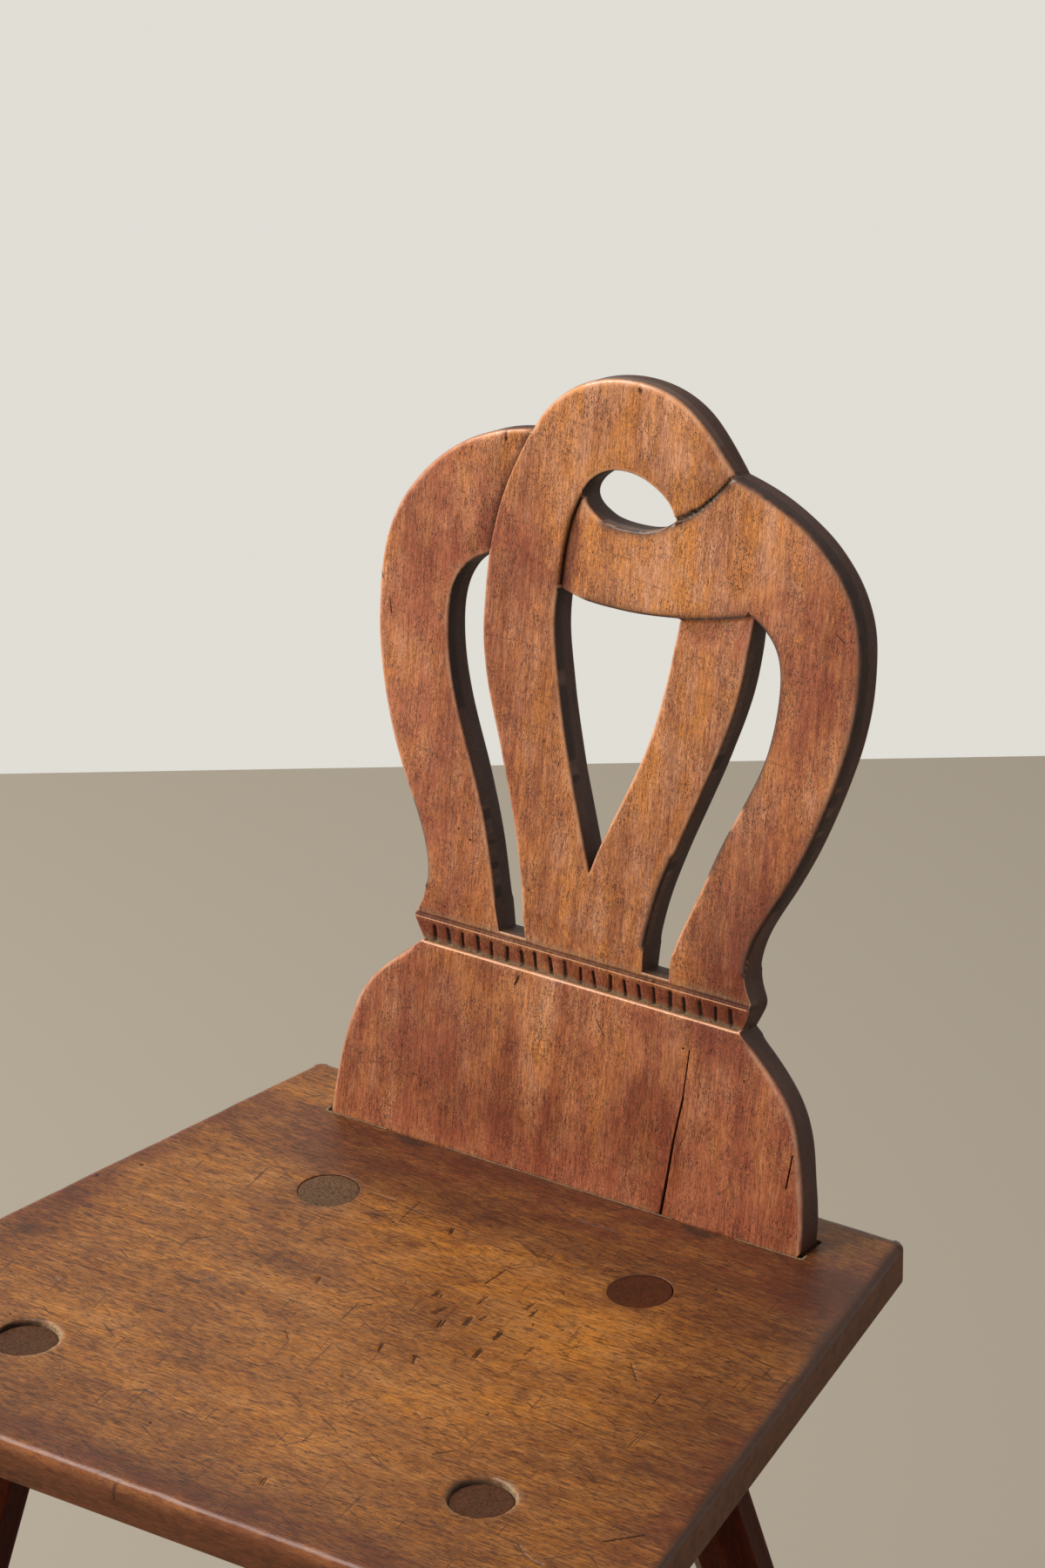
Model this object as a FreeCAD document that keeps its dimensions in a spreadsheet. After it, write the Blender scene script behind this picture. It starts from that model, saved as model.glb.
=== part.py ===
# Plank chair: a trapezoid plank seat, a pierced and carved plank back, and four splayed staked legs.
#
# Frame: +X to the right as seen from the front, +Y to the back, +Z up.
# The origin is on the floor, under the middle of the chair's overall box.
# While the pieces are made, y = 0 is the line where the back's front face meets the seat's top.
# The whole chair is then moved along Y by centre_shift.

import FreeCAD, Part
import math
import os
import re

import Sketcher
from FreeCAD import Vector

os.makedirs("parts", exist_ok=True)
doc = FreeCAD.newDocument("plank_chair")

# Driving sizes, in millimetres and degrees
SIZES = (
    ("seat_height", 450, "floor to the seat's top"),
    ("seat_thickness", 20.5, "seat plank"),
    ("seat_front_width", 471, "along the front edge, before the corners are rounded"),
    ("seat_back_width", 340, "along the back edge, before the corners are rounded"),
    ("seat_depth", 368, "front edge to back edge"),
    ("seat_corner_radius", 7, "seen from above"),
    ("seat_top_round", 3.5, "top edge"),
    ("seat_under_round", 1.5, "bottom edge"),
    ("back_setback", 39.8, "seat's back edge to the back's front face"),
    ("back_thickness", 17.5, "back plank"),
    ("back_lean", 10.1, "degrees from upright"),
    ("back_base_width", 270, "at the seat"),
    ("back_foot_height", 99.3, "seat to the carved band, along the back"),
    ("back_crown_height", 394.3, "seat to the top of the arch, along the back"),
    ("back_crown_width", 266, "nominal spread of the pierced part"),
    ("band_height", 13.5, "carved band across the back"),
    ("band_foot_width", 181, "band along its lower edge"),
    ("band_tip_width", 192.6, "band along its ridge"),
    ("band_groove_depth", 3.2, "deepest part of the band, at its lower edge"),
    ("ridge_width", 1.4, "flat left along the band's ridge"),
    ("cove_depth", 1.8, "sunk foot of the straps, above the ridge"),
    ("cove_height", 15, "how far up the straps that hollow fades"),
    ("notch_count", 21, "cuts along the band"),
    ("notch_width", 1.2, "one cut"),
    ("notch_depth", 0.9, "below the band's sloping face"),
    ("notch_margin", 6.5, "band's lower corner to the middle of the first cut"),
    ("notch_foot_gap", 1.7, "groove to the lower end of a cut"),
    ("notch_head_gap", 2.6, "upper end of a cut to the ridge"),
    ("strap_dip", 3, "how deep a strap sinks where it goes under another"),
    ("back_tenon_width", 34, "each of the back's two tenons"),
    ("back_tenon_tail", 26, "tenon below the battens"),
    ("housing_depth", 2, "the back is let into the seat"),
    ("housing_end_gap", 1.5, "at each end of the back"),
    ("joint_gap", 0.1, "around flat sided joints"),
    ("tenon_gap", 0.05, "around round tenons"),
    ("rear_leg_inset", 106, "seat's back edge to the rear tenons' centres"),
    ("rear_leg_margin", 81.4, "seat's back corners to the rear tenons' centres, across"),
    ("front_leg_inset", 77.4, "seat's front edge to the front tenons' centres"),
    ("front_leg_margin", 109.5, "seat's front corners to the front tenons' centres, across"),
    ("side_splay", 10.1, "degrees, legs leaning out to the sides"),
    ("fore_splay", 13.1, "degrees, legs leaning to the front or the back"),
    ("leg_tenon_diameter", 29.9, "round tenon"),
    ("leg_tenon_root", 20, "where the tenon starts inside the leg, below its shoulder"),
    ("front_tenon_sink", 2.4, "front tenons end this far below the seat's top"),
    ("leg_top_width", 38, "across flats at the shoulder"),
    ("leg_foot_width", 27, "across flats at the floor"),
    ("facet_turn", 9, "degrees, the legs' flats against the seat's edges"),
    ("batten_width", 56, "under the seat"),
    ("batten_drop", 20, "below the seat's underside"),
    ("batten_front_stop", 36, "seat's front edge to the battens' front ends"),
    ("batten_rear_stop", 2, "seat's back edge to the battens' rear ends"),
    ("dovetail_height", 8, "let into the seat"),
    ("dovetail_root", 40, "dovetail's width at the seat's underside"),
    ("dovetail_flare", 3, "how much wider each side is at the dovetail's top"),
    ("key_width", 9, "key through a back tenon"),
    ("key_length", 58, "front to back"),
    ("key_head", 15, "key's height at its thick front end"),
    ("key_tip", 9, "key's height at its thin rear end"),
    ("key_draw", 1.5, "the key's room reaches this far above the battens' underside"),
    ("overrun", 5, "cutting shapes reach this far past what they cut"),
)

# The legs are octagonal, and the sides and ends of the chair have their signs along X and Y
LEG_SIDES = 8
SIDES = {"left": -1, "right": 1}
ENDS = {"rear": 1, "front": -1}

# Two lengths this close are the same
SAME = 1e-6

# Sizes that follow from them
DERIVED = (
    ("seat_front_y", "back_setback - seat_depth"),
    ("underside", "seat_height - seat_thickness"),
    ("shoulder", "underside - batten_drop"),
    ("rear_leg_x", "seat_back_width / 2 - rear_leg_margin"),
    ("rear_leg_y", "back_setback - rear_leg_inset"),
    ("front_leg_x", "seat_front_width / 2 - front_leg_margin"),
    ("front_leg_y", "seat_front_y + front_leg_inset"),
    ("side_slope", "tan(side_splay * 1deg)"),
    ("fore_slope", "tan(fore_splay * 1deg)"),
    ("leg_tilt", "atan(sqrt(side_slope ^ 2 + fore_slope ^ 2))"),
    ("batten_level", "seat_thickness + batten_drop / 2"),
    ("batten_rear_x", "rear_leg_x + side_slope * batten_level"),
    ("batten_rear_y", "rear_leg_y + fore_slope * batten_level"),
    ("batten_front_x", "front_leg_x + side_slope * batten_level"),
    ("batten_front_y", "front_leg_y - fore_slope * batten_level"),
    ("batten_slope", "(batten_front_x - batten_rear_x) / (batten_rear_y - batten_front_y)"),
    ("batten_x", "batten_rear_x + batten_slope * batten_rear_y"),
    ("batten_run", "seat_depth + 2 * overrun"),
    ("ridge_height", "back_foot_height + band_height"),
    ("housing_front", "housing_depth * tan(back_lean * 1deg) + joint_gap"),
    ("housing_back", "back_thickness / cos(back_lean * 1deg) + joint_gap"),
    ("tenon_drop", "(seat_thickness + batten_drop + back_tenon_tail) / cos(back_lean * 1deg)"),
    ("half_facet", "180 / %d" % LEG_SIDES),
    ("foot_reach", "leg_foot_width / 2 / cos(half_facet * 1deg) * cos((half_facet - facet_turn) * 1deg)"),
    ("front_reach", "front_leg_y - fore_slope * seat_height - foot_reach"),
    ("back_reach", "back_crown_height * sin(back_lean * 1deg) + back_thickness * cos(back_lean * 1deg)"),
    ("centre_shift", "-(front_reach + back_reach) / 2"),
)

# Outline points of the back. Below the band they are shares of half the base width and of the
# foot's height. Above the ridge they are shares of half the crown width and of the height from
# the ridge to the top of the arch. They run from left to right, as seen from the front.
FOOT_SHARES = ((0.992, 0.2), (0.972, 0.37), (0.945, 0.54), (0.9, 0.69), (0.82, 0.82), (0.735, 0.925))
LEFT_LOOP_SHARES = (
    (-0.688, 0.03), (-0.679, 0.068), (-0.695, 0.115), (-0.82, 0.24), (-0.944, 0.4), (-0.985, 0.56),
    (-0.958, 0.668), (-0.835, 0.77), (-0.658, 0.84), (-0.395, 0.879))
ARCH_SHARES = (
    (-0.395, 0.879), (-0.338, 0.924), (-0.263, 0.959), (-0.169, 0.984), (0, 1), (0.15, 0.992),
    (0.244, 0.972), (0.338, 0.936), (0.442, 0.878))
RIGHT_LOOP_SHARES = (
    (0.442, 0.878), (0.677, 0.84), (0.883, 0.769), (0.978, 0.7), (1.015, 0.62), (1.012, 0.515),
    (0.947, 0.381), (0.835, 0.239), (0.759, 0.168), (0.7, 0.11), (0.68, 0.068), (0.686, 0.03))

# Openings through the back. Each is a ring of curves, and each curve starts where the last ended.
OPENING_SHARES = {
    "eye": (
        ((0.21, 0.778), (0.195, 0.805), (0.15, 0.826), (0, 0.847), (-0.075, 0.84), (-0.12, 0.826),
         (-0.158, 0.805), (-0.166, 0.79), (-0.155, 0.778), (-0.13, 0.769), (-0.075, 0.756),
         (0.019, 0.751), (0.113, 0.755), (0.21, 0.778)),),
    "middle_opening": (
        ((0.004, 0.154), (-0.075, 0.266), (-0.15, 0.381), (-0.21, 0.5), (-0.233, 0.568), (-0.23, 0.623)),
        ((-0.23, 0.623), (-0.038, 0.613), (0.12, 0.615), (0.267, 0.623)),
        ((0.267, 0.623), (0.262, 0.555), (0.233, 0.47), (0.192, 0.39), (0.09, 0.266), (0.004, 0.154))),
    "left_slot": (
        ((-0.357, 0.006), (-0.384, 0.068), (-0.489, 0.239), (-0.632, 0.408), (-0.68, 0.53),
         (-0.669, 0.586), (-0.632, 0.621), (-0.53, 0.655)),
        ((-0.53, 0.655), (-0.534, 0.57), (-0.517, 0.485), (-0.414, 0.328), (-0.32, 0.186),
         (-0.244, 0.006)),
        ((-0.244, 0.006), (-0.357, 0.006))),
    "right_slot": (
        ((0.256, 0.006), (0.282, 0.124), (0.376, 0.266), (0.481, 0.408), (0.545, 0.52),
         (0.564, 0.595), (0.565, 0.657)),
        ((0.565, 0.657), (0.62, 0.641), (0.669, 0.616), (0.697, 0.58), (0.704, 0.52),
         (0.669, 0.417), (0.545, 0.275), (0.432, 0.132), (0.384, 0.07), (0.368, 0.006)),
        ((0.368, 0.006), (0.256, 0.006))),
}

# Where a strap goes under another: the upper strap's edge, then the two points, in the open or
# past the outline, between which the lower strap starts to sink.
CROSSING_SHARES = {
    "left_loop_under_arch": (
        ((-0.534, 0.605), (-0.519, 0.692), (-0.489, 0.764), (-0.451, 0.817), (-0.395, 0.879)),
        (-0.511, 0.897), (-0.639, 0.591)),
    "right_loop_under_arch": (
        ((-0.233, 0.595), (-0.226, 0.693), (-0.207, 0.746), (-0.169, 0.794)),
        (-0.06, 0.787), (-0.12, 0.584)),
    "arch_under_right_loop": (
        ((0.21, 0.778), (0.301, 0.805), (0.376, 0.84), (0.442, 0.878)),
        (0.406, 0.943), (0.12, 0.819)),
    "inner_strap_under_right_loop": (
        ((0.267, 0.623), (0.395, 0.634), (0.489, 0.646), (0.565, 0.657)),
        (0.617, 0.605), (0.248, 0.566)),
}

SHEET = "Sizes"


def expression(formula):
    """Point every alias in a formula at the sheet."""
    names = "|".join(row[0] for row in SIZES + DERIVED)
    return re.sub(r"\b(%s)\b" % names, SHEET + r".\1", formula)


def fill_sheet():
    """Write the driving sizes, then those that follow from them, each under its own alias."""
    table = doc.addObject("Spreadsheet::Sheet", SHEET)
    rows = [(alias, str(value), note) for alias, value, note in SIZES]
    rows += [(alias, "=" + formula, "follows from the sizes above") for alias, formula in DERIVED]
    for row, (alias, value, note) in enumerate(rows, 1):
        table.set("A%d" % row, alias)
        table.set("B%d" % row, value)
        table.setAlias("B%d" % row, alias)
        table.set("C%d" % row, note)
    doc.recompute()
    return table


sheet = fill_sheet()


def size(alias):
    """The value of one cell, for the few shapes whose points are worked out here."""
    value = getattr(sheet, alias)
    return getattr(value, "Value", value)


def bind(thing, **formulas):
    """Tie an object's properties to the sheet."""
    for name, formula in formulas.items():
        thing.setExpression(name, expression(formula))
    return thing


def made(kind, name, **formulas):
    return bind(doc.addObject(kind, name), **formulas)


def at(x, y, z):
    """A placement that only moves."""
    return "placement(vector(%s; %s; %s); rotation(vector(0; 0; 1); 0))" % (x, y, z)


def turned(place, axis, angle):
    """A placement that turns about an axis through a point."""
    return "placement(vector(%s); rotation(vector(%s); %s))" % (place, axis, angle)


def box(name, length, width, height, placement):
    return made("Part::Box", name, Length=length, Width=width, Height=height, Placement=placement)


def fuse(name, shapes):
    result = doc.addObject("Part::MultiFuse", name)
    result.Shapes = shapes
    return result


def cut(name, base, tools):
    """Take tools away from a base."""
    result = doc.addObject("Part::Cut", name)
    result.Base = base
    result.Tool = tools[0] if len(tools) == 1 else fuse(name + "_tools", tools)
    return result


def common(name, base, tool):
    result = doc.addObject("Part::Common", name)
    result.Base = base
    result.Tool = tool
    return result


def finished(thing, label, place=at("0", "0", "0")):
    """Give a piece its label and move it into the chair's own frame."""
    thing.Label = label
    return bind(thing, Placement=at("0", "centre_shift", "0") + " * " + place)


def line(start, end):
    return Part.LineSegment(start, end).toShape()


def curve(points):
    """A smooth edge through points, or a straight one through two."""
    if len(points) == 2:
        return line(*points)
    spline = Part.BSplineCurve()
    spline.interpolate(points)
    return spline.toShape()


def drawn(name, shape):
    """An object for a shape whose points are worked out here."""
    thing = doc.addObject("Part::Feature", name)
    thing.Shape = shape
    return thing


# The seat

def rounded(body, base, name, radius, wanted):
    """Round the edges of a feature whose corners all pass a test."""
    edges = ["Edge%d" % number for number, edge in enumerate(base.Shape.Edges, 1)
             if wanted([vertex.Point for vertex in edge.Vertexes])]
    fillet = body.newObject("PartDesign::Fillet", name)
    fillet.Base = (base, edges)
    bind(fillet, Radius=radius)
    doc.recompute()
    return fillet


def same(one, other):
    return math.isclose(one, other, abs_tol=SAME)


def upright(points):
    low, high = points[0], points[-1]
    return not same(low.z, high.z) and same(low.x, high.x) and same(low.y, high.y)


def seat_outline(body):
    """The trapezoid, drawn on the body's own ground plane and tied to the sheet."""
    sketch = body.newObject("Sketcher::SketchObject", "seat_outline")
    ground = next(part for part in body.Origin.OriginFeatures if part.Role == "XY_Plane")
    sketch.AttachmentSupport = (ground, [""])
    sketch.MapMode = "FlatFace"
    half_front = size("seat_front_width") / 2
    half_back = size("seat_back_width") / 2
    front = size("seat_front_y")
    rear = size("back_setback")
    corners = (Vector(-half_front, front, 0), Vector(half_front, front, 0),
               Vector(half_back, rear, 0), Vector(-half_back, rear, 0))
    following = corners[1:] + corners[:1]
    sketch.addGeometry([Part.LineSegment(*ends) for ends in zip(corners, following)], False)
    for index in range(len(corners)):
        sketch.addConstraint(Sketcher.Constraint("Coincident", index, 2, (index + 1) % len(corners), 1))
    for index in (0, 2):
        sketch.addConstraint(Sketcher.Constraint("Symmetric", index, 1, index, 2, -2))
    for name, place in (
            ("seat_front_width", ("DistanceX", 0, 1, 0, 2)),
            ("seat_back_width", ("DistanceX", 2, 2, 2, 1)),
            ("back_setback", ("DistanceY", -1, 1, 2, 1)),
            ("seat_depth", ("DistanceY", 0, 2, 2, 1))):
        index = sketch.addConstraint(Sketcher.Constraint(*place, size(name)))
        sketch.renameConstraint(index, name)
        sketch.setExpression("Constraints." + name, expression(name))
    return sketch


def seat_blank():
    """The seat's plank before its joints are cut, with its edges worked round."""
    body = doc.addObject("PartDesign::Body", "seat_blank")
    plank = body.newObject("PartDesign::Pad", "seat_plank")
    plank.Profile = seat_outline(body)
    bind(plank, Length="seat_thickness")
    doc.recompute()
    top = size("seat_thickness")
    corners = rounded(body, plank, "seat_corners", "seat_corner_radius", upright)
    upper = rounded(body, corners, "seat_top_edge", "seat_top_round",
                    lambda points: all(same(point.z, top) for point in points))
    rounded(body, upper, "seat_under_edge", "seat_under_round",
            lambda points: all(same(point.z, 0) for point in points))
    return bind(body, Placement=at("0", "0", "underside"))


def housing():
    """The shallow bed in the seat that the back's foot stands in."""
    return box("back_housing", "back_base_width + 2 * housing_end_gap", "housing_front + housing_back",
               "housing_depth + overrun",
               at("-back_base_width / 2 - housing_end_gap", "-housing_front",
                  "seat_height - housing_depth"))


def seat_board(leg_holes, mortises):
    tools = [housing()] + leg_holes + mortises + [socket(side) for side in SIDES]
    return finished(cut("seat", seat_blank(), tools), "seat_board")


# The legs

def leg_axis(end, side, height):
    """The leg's middle at a height, written as a vector's three terms."""
    return ("%d * (%s_leg_x + side_slope * (seat_height - (%s))); "
            "%s_leg_y + %d * fore_slope * (seat_height - (%s)); %s"
            % (SIDES[side], end, height, end, ENDS[end], height, height))


def along_leg(end, side, depth):
    """A placement on a leg's axis, that far below the seat's top, turned to run up the leg."""
    tilt_axis = "%d * fore_slope; %d * side_slope; 0" % (ENDS[end], -SIDES[side])
    return turned(leg_axis(end, side, "seat_height"), tilt_axis, "leg_tilt") + " * " + at(
        "0", "0", "-(%s)" % depth)


def leg_section(end, side, level, width, height):
    """One level section of a leg: a regular polygon around the leg's axis."""
    section = doc.addObject("Part::RegularPolygon", "%s_%s_%s" % (end, side, level))
    section.Polygon = LEG_SIDES
    return bind(section, Circumradius=width + " / 2 / cos(half_facet * 1deg)",
                Placement=turned(leg_axis(end, side, height), "0; 0; 1",
                                 "half_facet + %d * facet_turn" % SIDES[side]))


def leg(end, side, sink):
    """An octagonal leg that thins to its foot, with a round tenon that leans along it."""
    name = "leg_%s_%s" % (end, side)
    shaft = doc.addObject("Part::Loft", name + "_shaft")
    shaft.Sections = [leg_section(end, side, "foot", "leg_foot_width", "0"),
                      leg_section(end, side, "shoulder", "leg_top_width", "shoulder")]
    shaft.Solid = True
    shaft.Ruled = True
    below = "seat_thickness + batten_drop + leg_tenon_root"
    tenon = made("Part::Cylinder", name + "_tenon", Radius="leg_tenon_diameter / 2",
                 Height=below + " + leg_tenon_diameter", Placement=along_leg(end, side, below))
    under = box(name + "_level", "seat_front_width", "2 * seat_depth", "seat_height - " + sink,
                at("-seat_front_width / 2", "seat_front_y - seat_depth / 2", "0"))
    return finished(fuse(name + "_whole", [shaft, common(name + "_tenon_end", tenon, under)]), name)


def leg_hole(end, side):
    """Room for a leg's tenon through the batten and the seat."""
    below = "seat_thickness + batten_drop + leg_tenon_diameter"
    return made("Part::Cylinder", "%s_%s_hole" % (end, side), Radius="leg_tenon_diameter / 2 + tenon_gap",
                Height=below + " + leg_tenon_diameter", Placement=along_leg(end, side, below))


# The battens

def batten_frame(side, x, y, z):
    """A placement whose Y axis runs along one batten, at the seat's underside."""
    sign = SIDES[side]
    slant = turned("%d * batten_x; 0; underside" % sign, "0; 0; 1", "%d * atan(batten_slope)" % sign)
    return slant + " * " + at(x, y, z)


def dovetail(name, side, gap):
    """The tail along a batten's top, or with a gap the socket for it."""
    tail = made(
        "Part::Wedge", name, Xmin="-dovetail_root / 2 - " + gap, Xmax="dovetail_root / 2 + " + gap,
        X2min="-dovetail_root / 2 - dovetail_flare - " + gap,
        X2max="dovetail_root / 2 + dovetail_flare + " + gap,
        Ymax="dovetail_height + " + gap, Zmax="batten_run", Z2max="batten_run",
        Placement=batten_frame(side, "0", "back_setback + overrun", "0") + " * "
        + turned("0; 0; 0", "1; 0; 0", "90"))
    tail.Ymin = tail.Zmin = tail.Z2min = 0
    return tail


def batten_span(name, stop, level, height):
    """A block, square to the chair, between the ends of a batten or of its socket."""
    return box(name, "seat_front_width", "seat_depth - batten_front_stop - " + stop, height,
               at("-seat_front_width / 2", "seat_front_y + batten_front_stop", level))


def batten(side, leg_holes, mortise):
    name = "batten_" + side
    bar = box(name + "_bar", "batten_width", "batten_run", "batten_drop",
              batten_frame(side, "-batten_width / 2", "seat_front_y - overrun", "-batten_drop"))
    whole = fuse(name + "_whole", [bar, dovetail(name + "_tail", side, "0")])
    span = batten_span(name + "_span", "batten_rear_stop", "shoulder", "batten_drop + seat_thickness")
    return finished(cut(name + "_cut", common(name + "_blank", whole, span), leg_holes + [mortise]), name)


def socket(side):
    """The dovetail's socket, run out at the seat's back edge so that the batten slides in."""
    name = "socket_" + side
    span = batten_span(name + "_span", "(-overrun)", "underside - overrun", "seat_thickness + overrun")
    return common(name, dovetail(name + "_tail", side, "joint_gap"), span)


# The back

def foot_point(across, up):
    return Vector(across * size("back_base_width") / 2, 0, up * size("back_foot_height"))


def crown_point(across, up):
    rise = size("back_crown_height") - size("ridge_height")
    return Vector(across * size("back_crown_width") / 2, 0, size("ridge_height") + up * rise)


def crown_curve(shares):
    return curve([crown_point(*share) for share in shares])


def back_outline():
    """The back's outer edge: foot, band tips and the two crossing loops."""
    base = size("back_base_width") / 2
    root = -size("housing_depth") - size("overrun")
    shoulder = Vector(size("band_foot_width") / 2, 0, size("back_foot_height"))
    tip = Vector(size("band_tip_width") / 2, 0, size("ridge_height"))

    def mirrored(point):
        return Vector(-point.x, point.y, point.z)

    foot = [Vector(base, 0, 0)] + [foot_point(*share) for share in FOOT_SHARES] + [shoulder]
    left_loop = [mirrored(tip)] + [crown_point(*share) for share in LEFT_LOOP_SHARES]
    right_loop = [crown_point(*share) for share in RIGHT_LOOP_SHARES] + [tip]
    edges = [
        line(Vector(-base, 0, root), mirrored(foot[0])),
        curve([mirrored(point) for point in foot]),
        line(mirrored(shoulder), mirrored(tip)),
        curve(left_loop),
        crown_curve(ARCH_SHARES),
        curve(right_loop),
        line(tip, shoulder),
        curve(foot[::-1]),
        line(foot[0], Vector(base, 0, root)),
        line(Vector(base, 0, root), Vector(-base, 0, root)),
    ]
    return Part.Face(Part.Wire(edges))


def through(name, face, depth, margin):
    """A face carried through the plank, from its front towards its back."""
    solid = made("Part::Extrusion", name, LengthFwd=depth, LengthRev=margin)
    solid.Base = drawn(name + "_face", face)
    solid.DirMode = "Custom"
    solid.Dir = Vector(0, 1, 0)
    solid.Solid = True
    return solid


def opening(name):
    face = Part.Face(Part.Wire([crown_curve(shares) for shares in OPENING_SHARES[name]]))
    return through(name, face, "back_thickness + overrun", "overrun")


def crossing(name):
    """What is carved off the lower strap where two straps cross.

    The floor of the cut starts level with the front between the two far points and is
    strap_dip deep half way along the upper strap's edge.
    """
    edge, far_end, far_start = CROSSING_SHARES[name]
    points = [crown_point(*share) for share in edge]
    ends = [crown_point(*far_end), crown_point(*far_start)]
    region = Part.Face(Part.Wire([curve(points), line(points[-1], ends[0]), line(*ends),
                                  line(ends[1], points[0])]))
    region.translate(Vector(0, -size("overrun"), 0))
    sides = region.extrude(Vector(0, size("back_thickness"), 0))
    deepest = points[len(points) // 2] + Vector(0, size("strap_dip"), 0)
    facing = (ends[1] - ends[0]).cross(deepest - ends[0])
    if facing.y > 0:
        facing = -facing
    reach = size("back_crown_height")
    room = Part.makeBox(reach, reach, reach, Vector(-reach / 2, -reach / 2, 0))
    turn = FreeCAD.Rotation(Vector(0, 0, 1), facing)
    room.Placement = FreeCAD.Placement(ends[0], turn) * room.Placement
    return drawn(name, sides.common(room))


def carried_across(points, start, length):
    """A section given as depths and heights, carried across the back."""
    corners = [Vector(start, depth, height) for depth, height in points]
    return Part.Face(Part.makePolygon(corners + corners[:1])).extrude(Vector(length, 0, 0))


def band_cuts():
    """The sloping band with its row of small cuts, and the hollow above its ridge."""
    margin = size("overrun")
    foot = size("back_foot_height")
    cove = size("ridge_height")
    ridge = cove - size("ridge_width")
    deep = size("band_groove_depth")
    reach = size("back_base_width")
    slope = [(-margin, foot), (deep, foot), (0, ridge), (-margin, ridge)]
    hollow = [(-margin, cove), (size("cove_depth"), cove), (0, cove + size("cove_height")),
              (-margin, cove + size("cove_height"))]
    solids = [carried_across(slope, -reach / 2, reach), carried_across(hollow, -reach / 2, reach)]

    low = foot + size("notch_foot_gap")
    high = ridge - size("notch_head_gap")
    floor = [deep * (ridge - height) / (ridge - foot) + size("notch_depth") for height in (low, high)]
    notch = [(-margin, low), (floor[0], low), (floor[1], high), (-margin, high)]
    first = size("notch_margin") - size("band_foot_width") / 2
    gaps = round(size("notch_count")) - 1
    for index in range(gaps + 1):
        middle = first - 2 * first * index / gaps
        solids.append(carried_across(notch, middle - size("notch_width") / 2, size("notch_width")))
    return drawn("band_cuts", solids[0].multiFuse(solids[1:]))


def leaning(x, y, z):
    """A placement in the back's own leaning frame, whose Y axis is the plank's depth."""
    return turned("0; 0; seat_height", "1; 0; 0", "-back_lean") + " * " + at(x, y, z)


def back_tenon(name, side, gap):
    """One of the back's two tenons, or with a gap the mortise for it."""
    return box(name, "back_tenon_width + 2 * " + gap, "back_thickness + 2 * " + gap,
               "tenon_drop + overrun",
               leaning("%d * batten_x - back_tenon_width / 2 - %s" % (SIDES[side], gap), "-" + gap,
                       "-tenon_drop"))


def back_board():
    carving = [opening(name) for name in OPENING_SHARES] + [crossing(name) for name in CROSSING_SHARES]
    plank = through("back_plank", back_outline(), "back_thickness", "0")
    carved = cut("back_carved", plank, carving + [band_cuts()])
    bind(carved, Placement=leaning("0", "0", "0"))
    bed = box("back_bed", "2 * back_base_width", "4 * back_thickness", "2 * back_thickness",
              at("-back_base_width", "-2 * back_thickness",
                 "seat_height - housing_depth - 2 * back_thickness"))
    tenons = [back_tenon("back_tenon_" + side, side, "0") for side in SIDES]
    rooms = [key_wedge("key_room_" + side, side, "joint_gap", "key_draw") for side in SIDES]
    whole = fuse("back_whole", [cut("back_seated", carved, [bed])] + tenons)
    return finished(cut("back", whole, rooms), "back_board")


# The keys

def key_place(side):
    """The middle of a key, at the battens' underside."""
    return at("%d * batten_x" % SIDES[side],
              "back_thickness / 2 - (seat_thickness + batten_drop) * sin(back_lean * 1deg)", "shoulder")


def key_wedge(name, side, gap, rise):
    """A key, thick in front and thin behind, or with a gap the room for it."""
    return made(
        "Part::Wedge", name, Xmin="-key_width / 2 - " + gap, Xmax="key_width / 2 + " + gap,
        X2min="-key_width / 2 - " + gap, X2max="key_width / 2 + " + gap,
        Ymin="-key_length / 2", Ymax="key_length / 2", Zmin="-key_head", Z2min="-key_tip",
        Zmax=rise, Z2max=rise, Placement=key_place(side))


def key(side):
    name = "back_key_" + side
    return finished(key_wedge(name, side, "0", "0"), name, key_place(side))


# The whole chair

def chair():
    holes = {(end, side): leg_hole(end, side) for end in ENDS for side in SIDES}
    mortises = {side: back_tenon("mortise_" + side, side, "joint_gap") for side in SIDES}
    sinks = {"rear": "0", "front": "front_tenon_sink"}
    pieces = [seat_board(list(holes.values()), list(mortises.values())), back_board()]
    for side in SIDES:
        pieces.append(batten(side, [holes[end, side] for end in ENDS], mortises[side]))
        pieces.append(key(side))
        pieces += [leg(end, side, sinks[end]) for end in ENDS]
    return pieces


def check(pieces):
    """Stop before anything is written if an object failed or a piece isn't one sound solid."""
    for thing in doc.Objects:
        if "Invalid" in thing.State or "Error" in thing.State:
            raise RuntimeError("%s failed: %s" % (thing.Name, thing.State))
    for piece in pieces:
        shape = piece.Shape
        if shape.isNull() or not shape.isValid() or len(shape.Solids) != 1:
            raise RuntimeError("%s is not one sound solid" % piece.Label)


pieces = chair()
doc.recompute()
check(pieces)
for piece in pieces:
    piece.Shape.exportStep("parts/%s.step" % piece.Label)
    print(piece.Label, round(piece.Shape.Volume), piece.Shape.optimalBoundingBox(False, False))
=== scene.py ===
import math
import random

import bmesh
import bpy
import numpy as np
from mathutils import Matrix, Vector, noise
from mathutils.bvhtree import BVHTree
from mathutils.geometry import delaunay_2d_cdt
from mathutils.kdtree import KDTree

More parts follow.
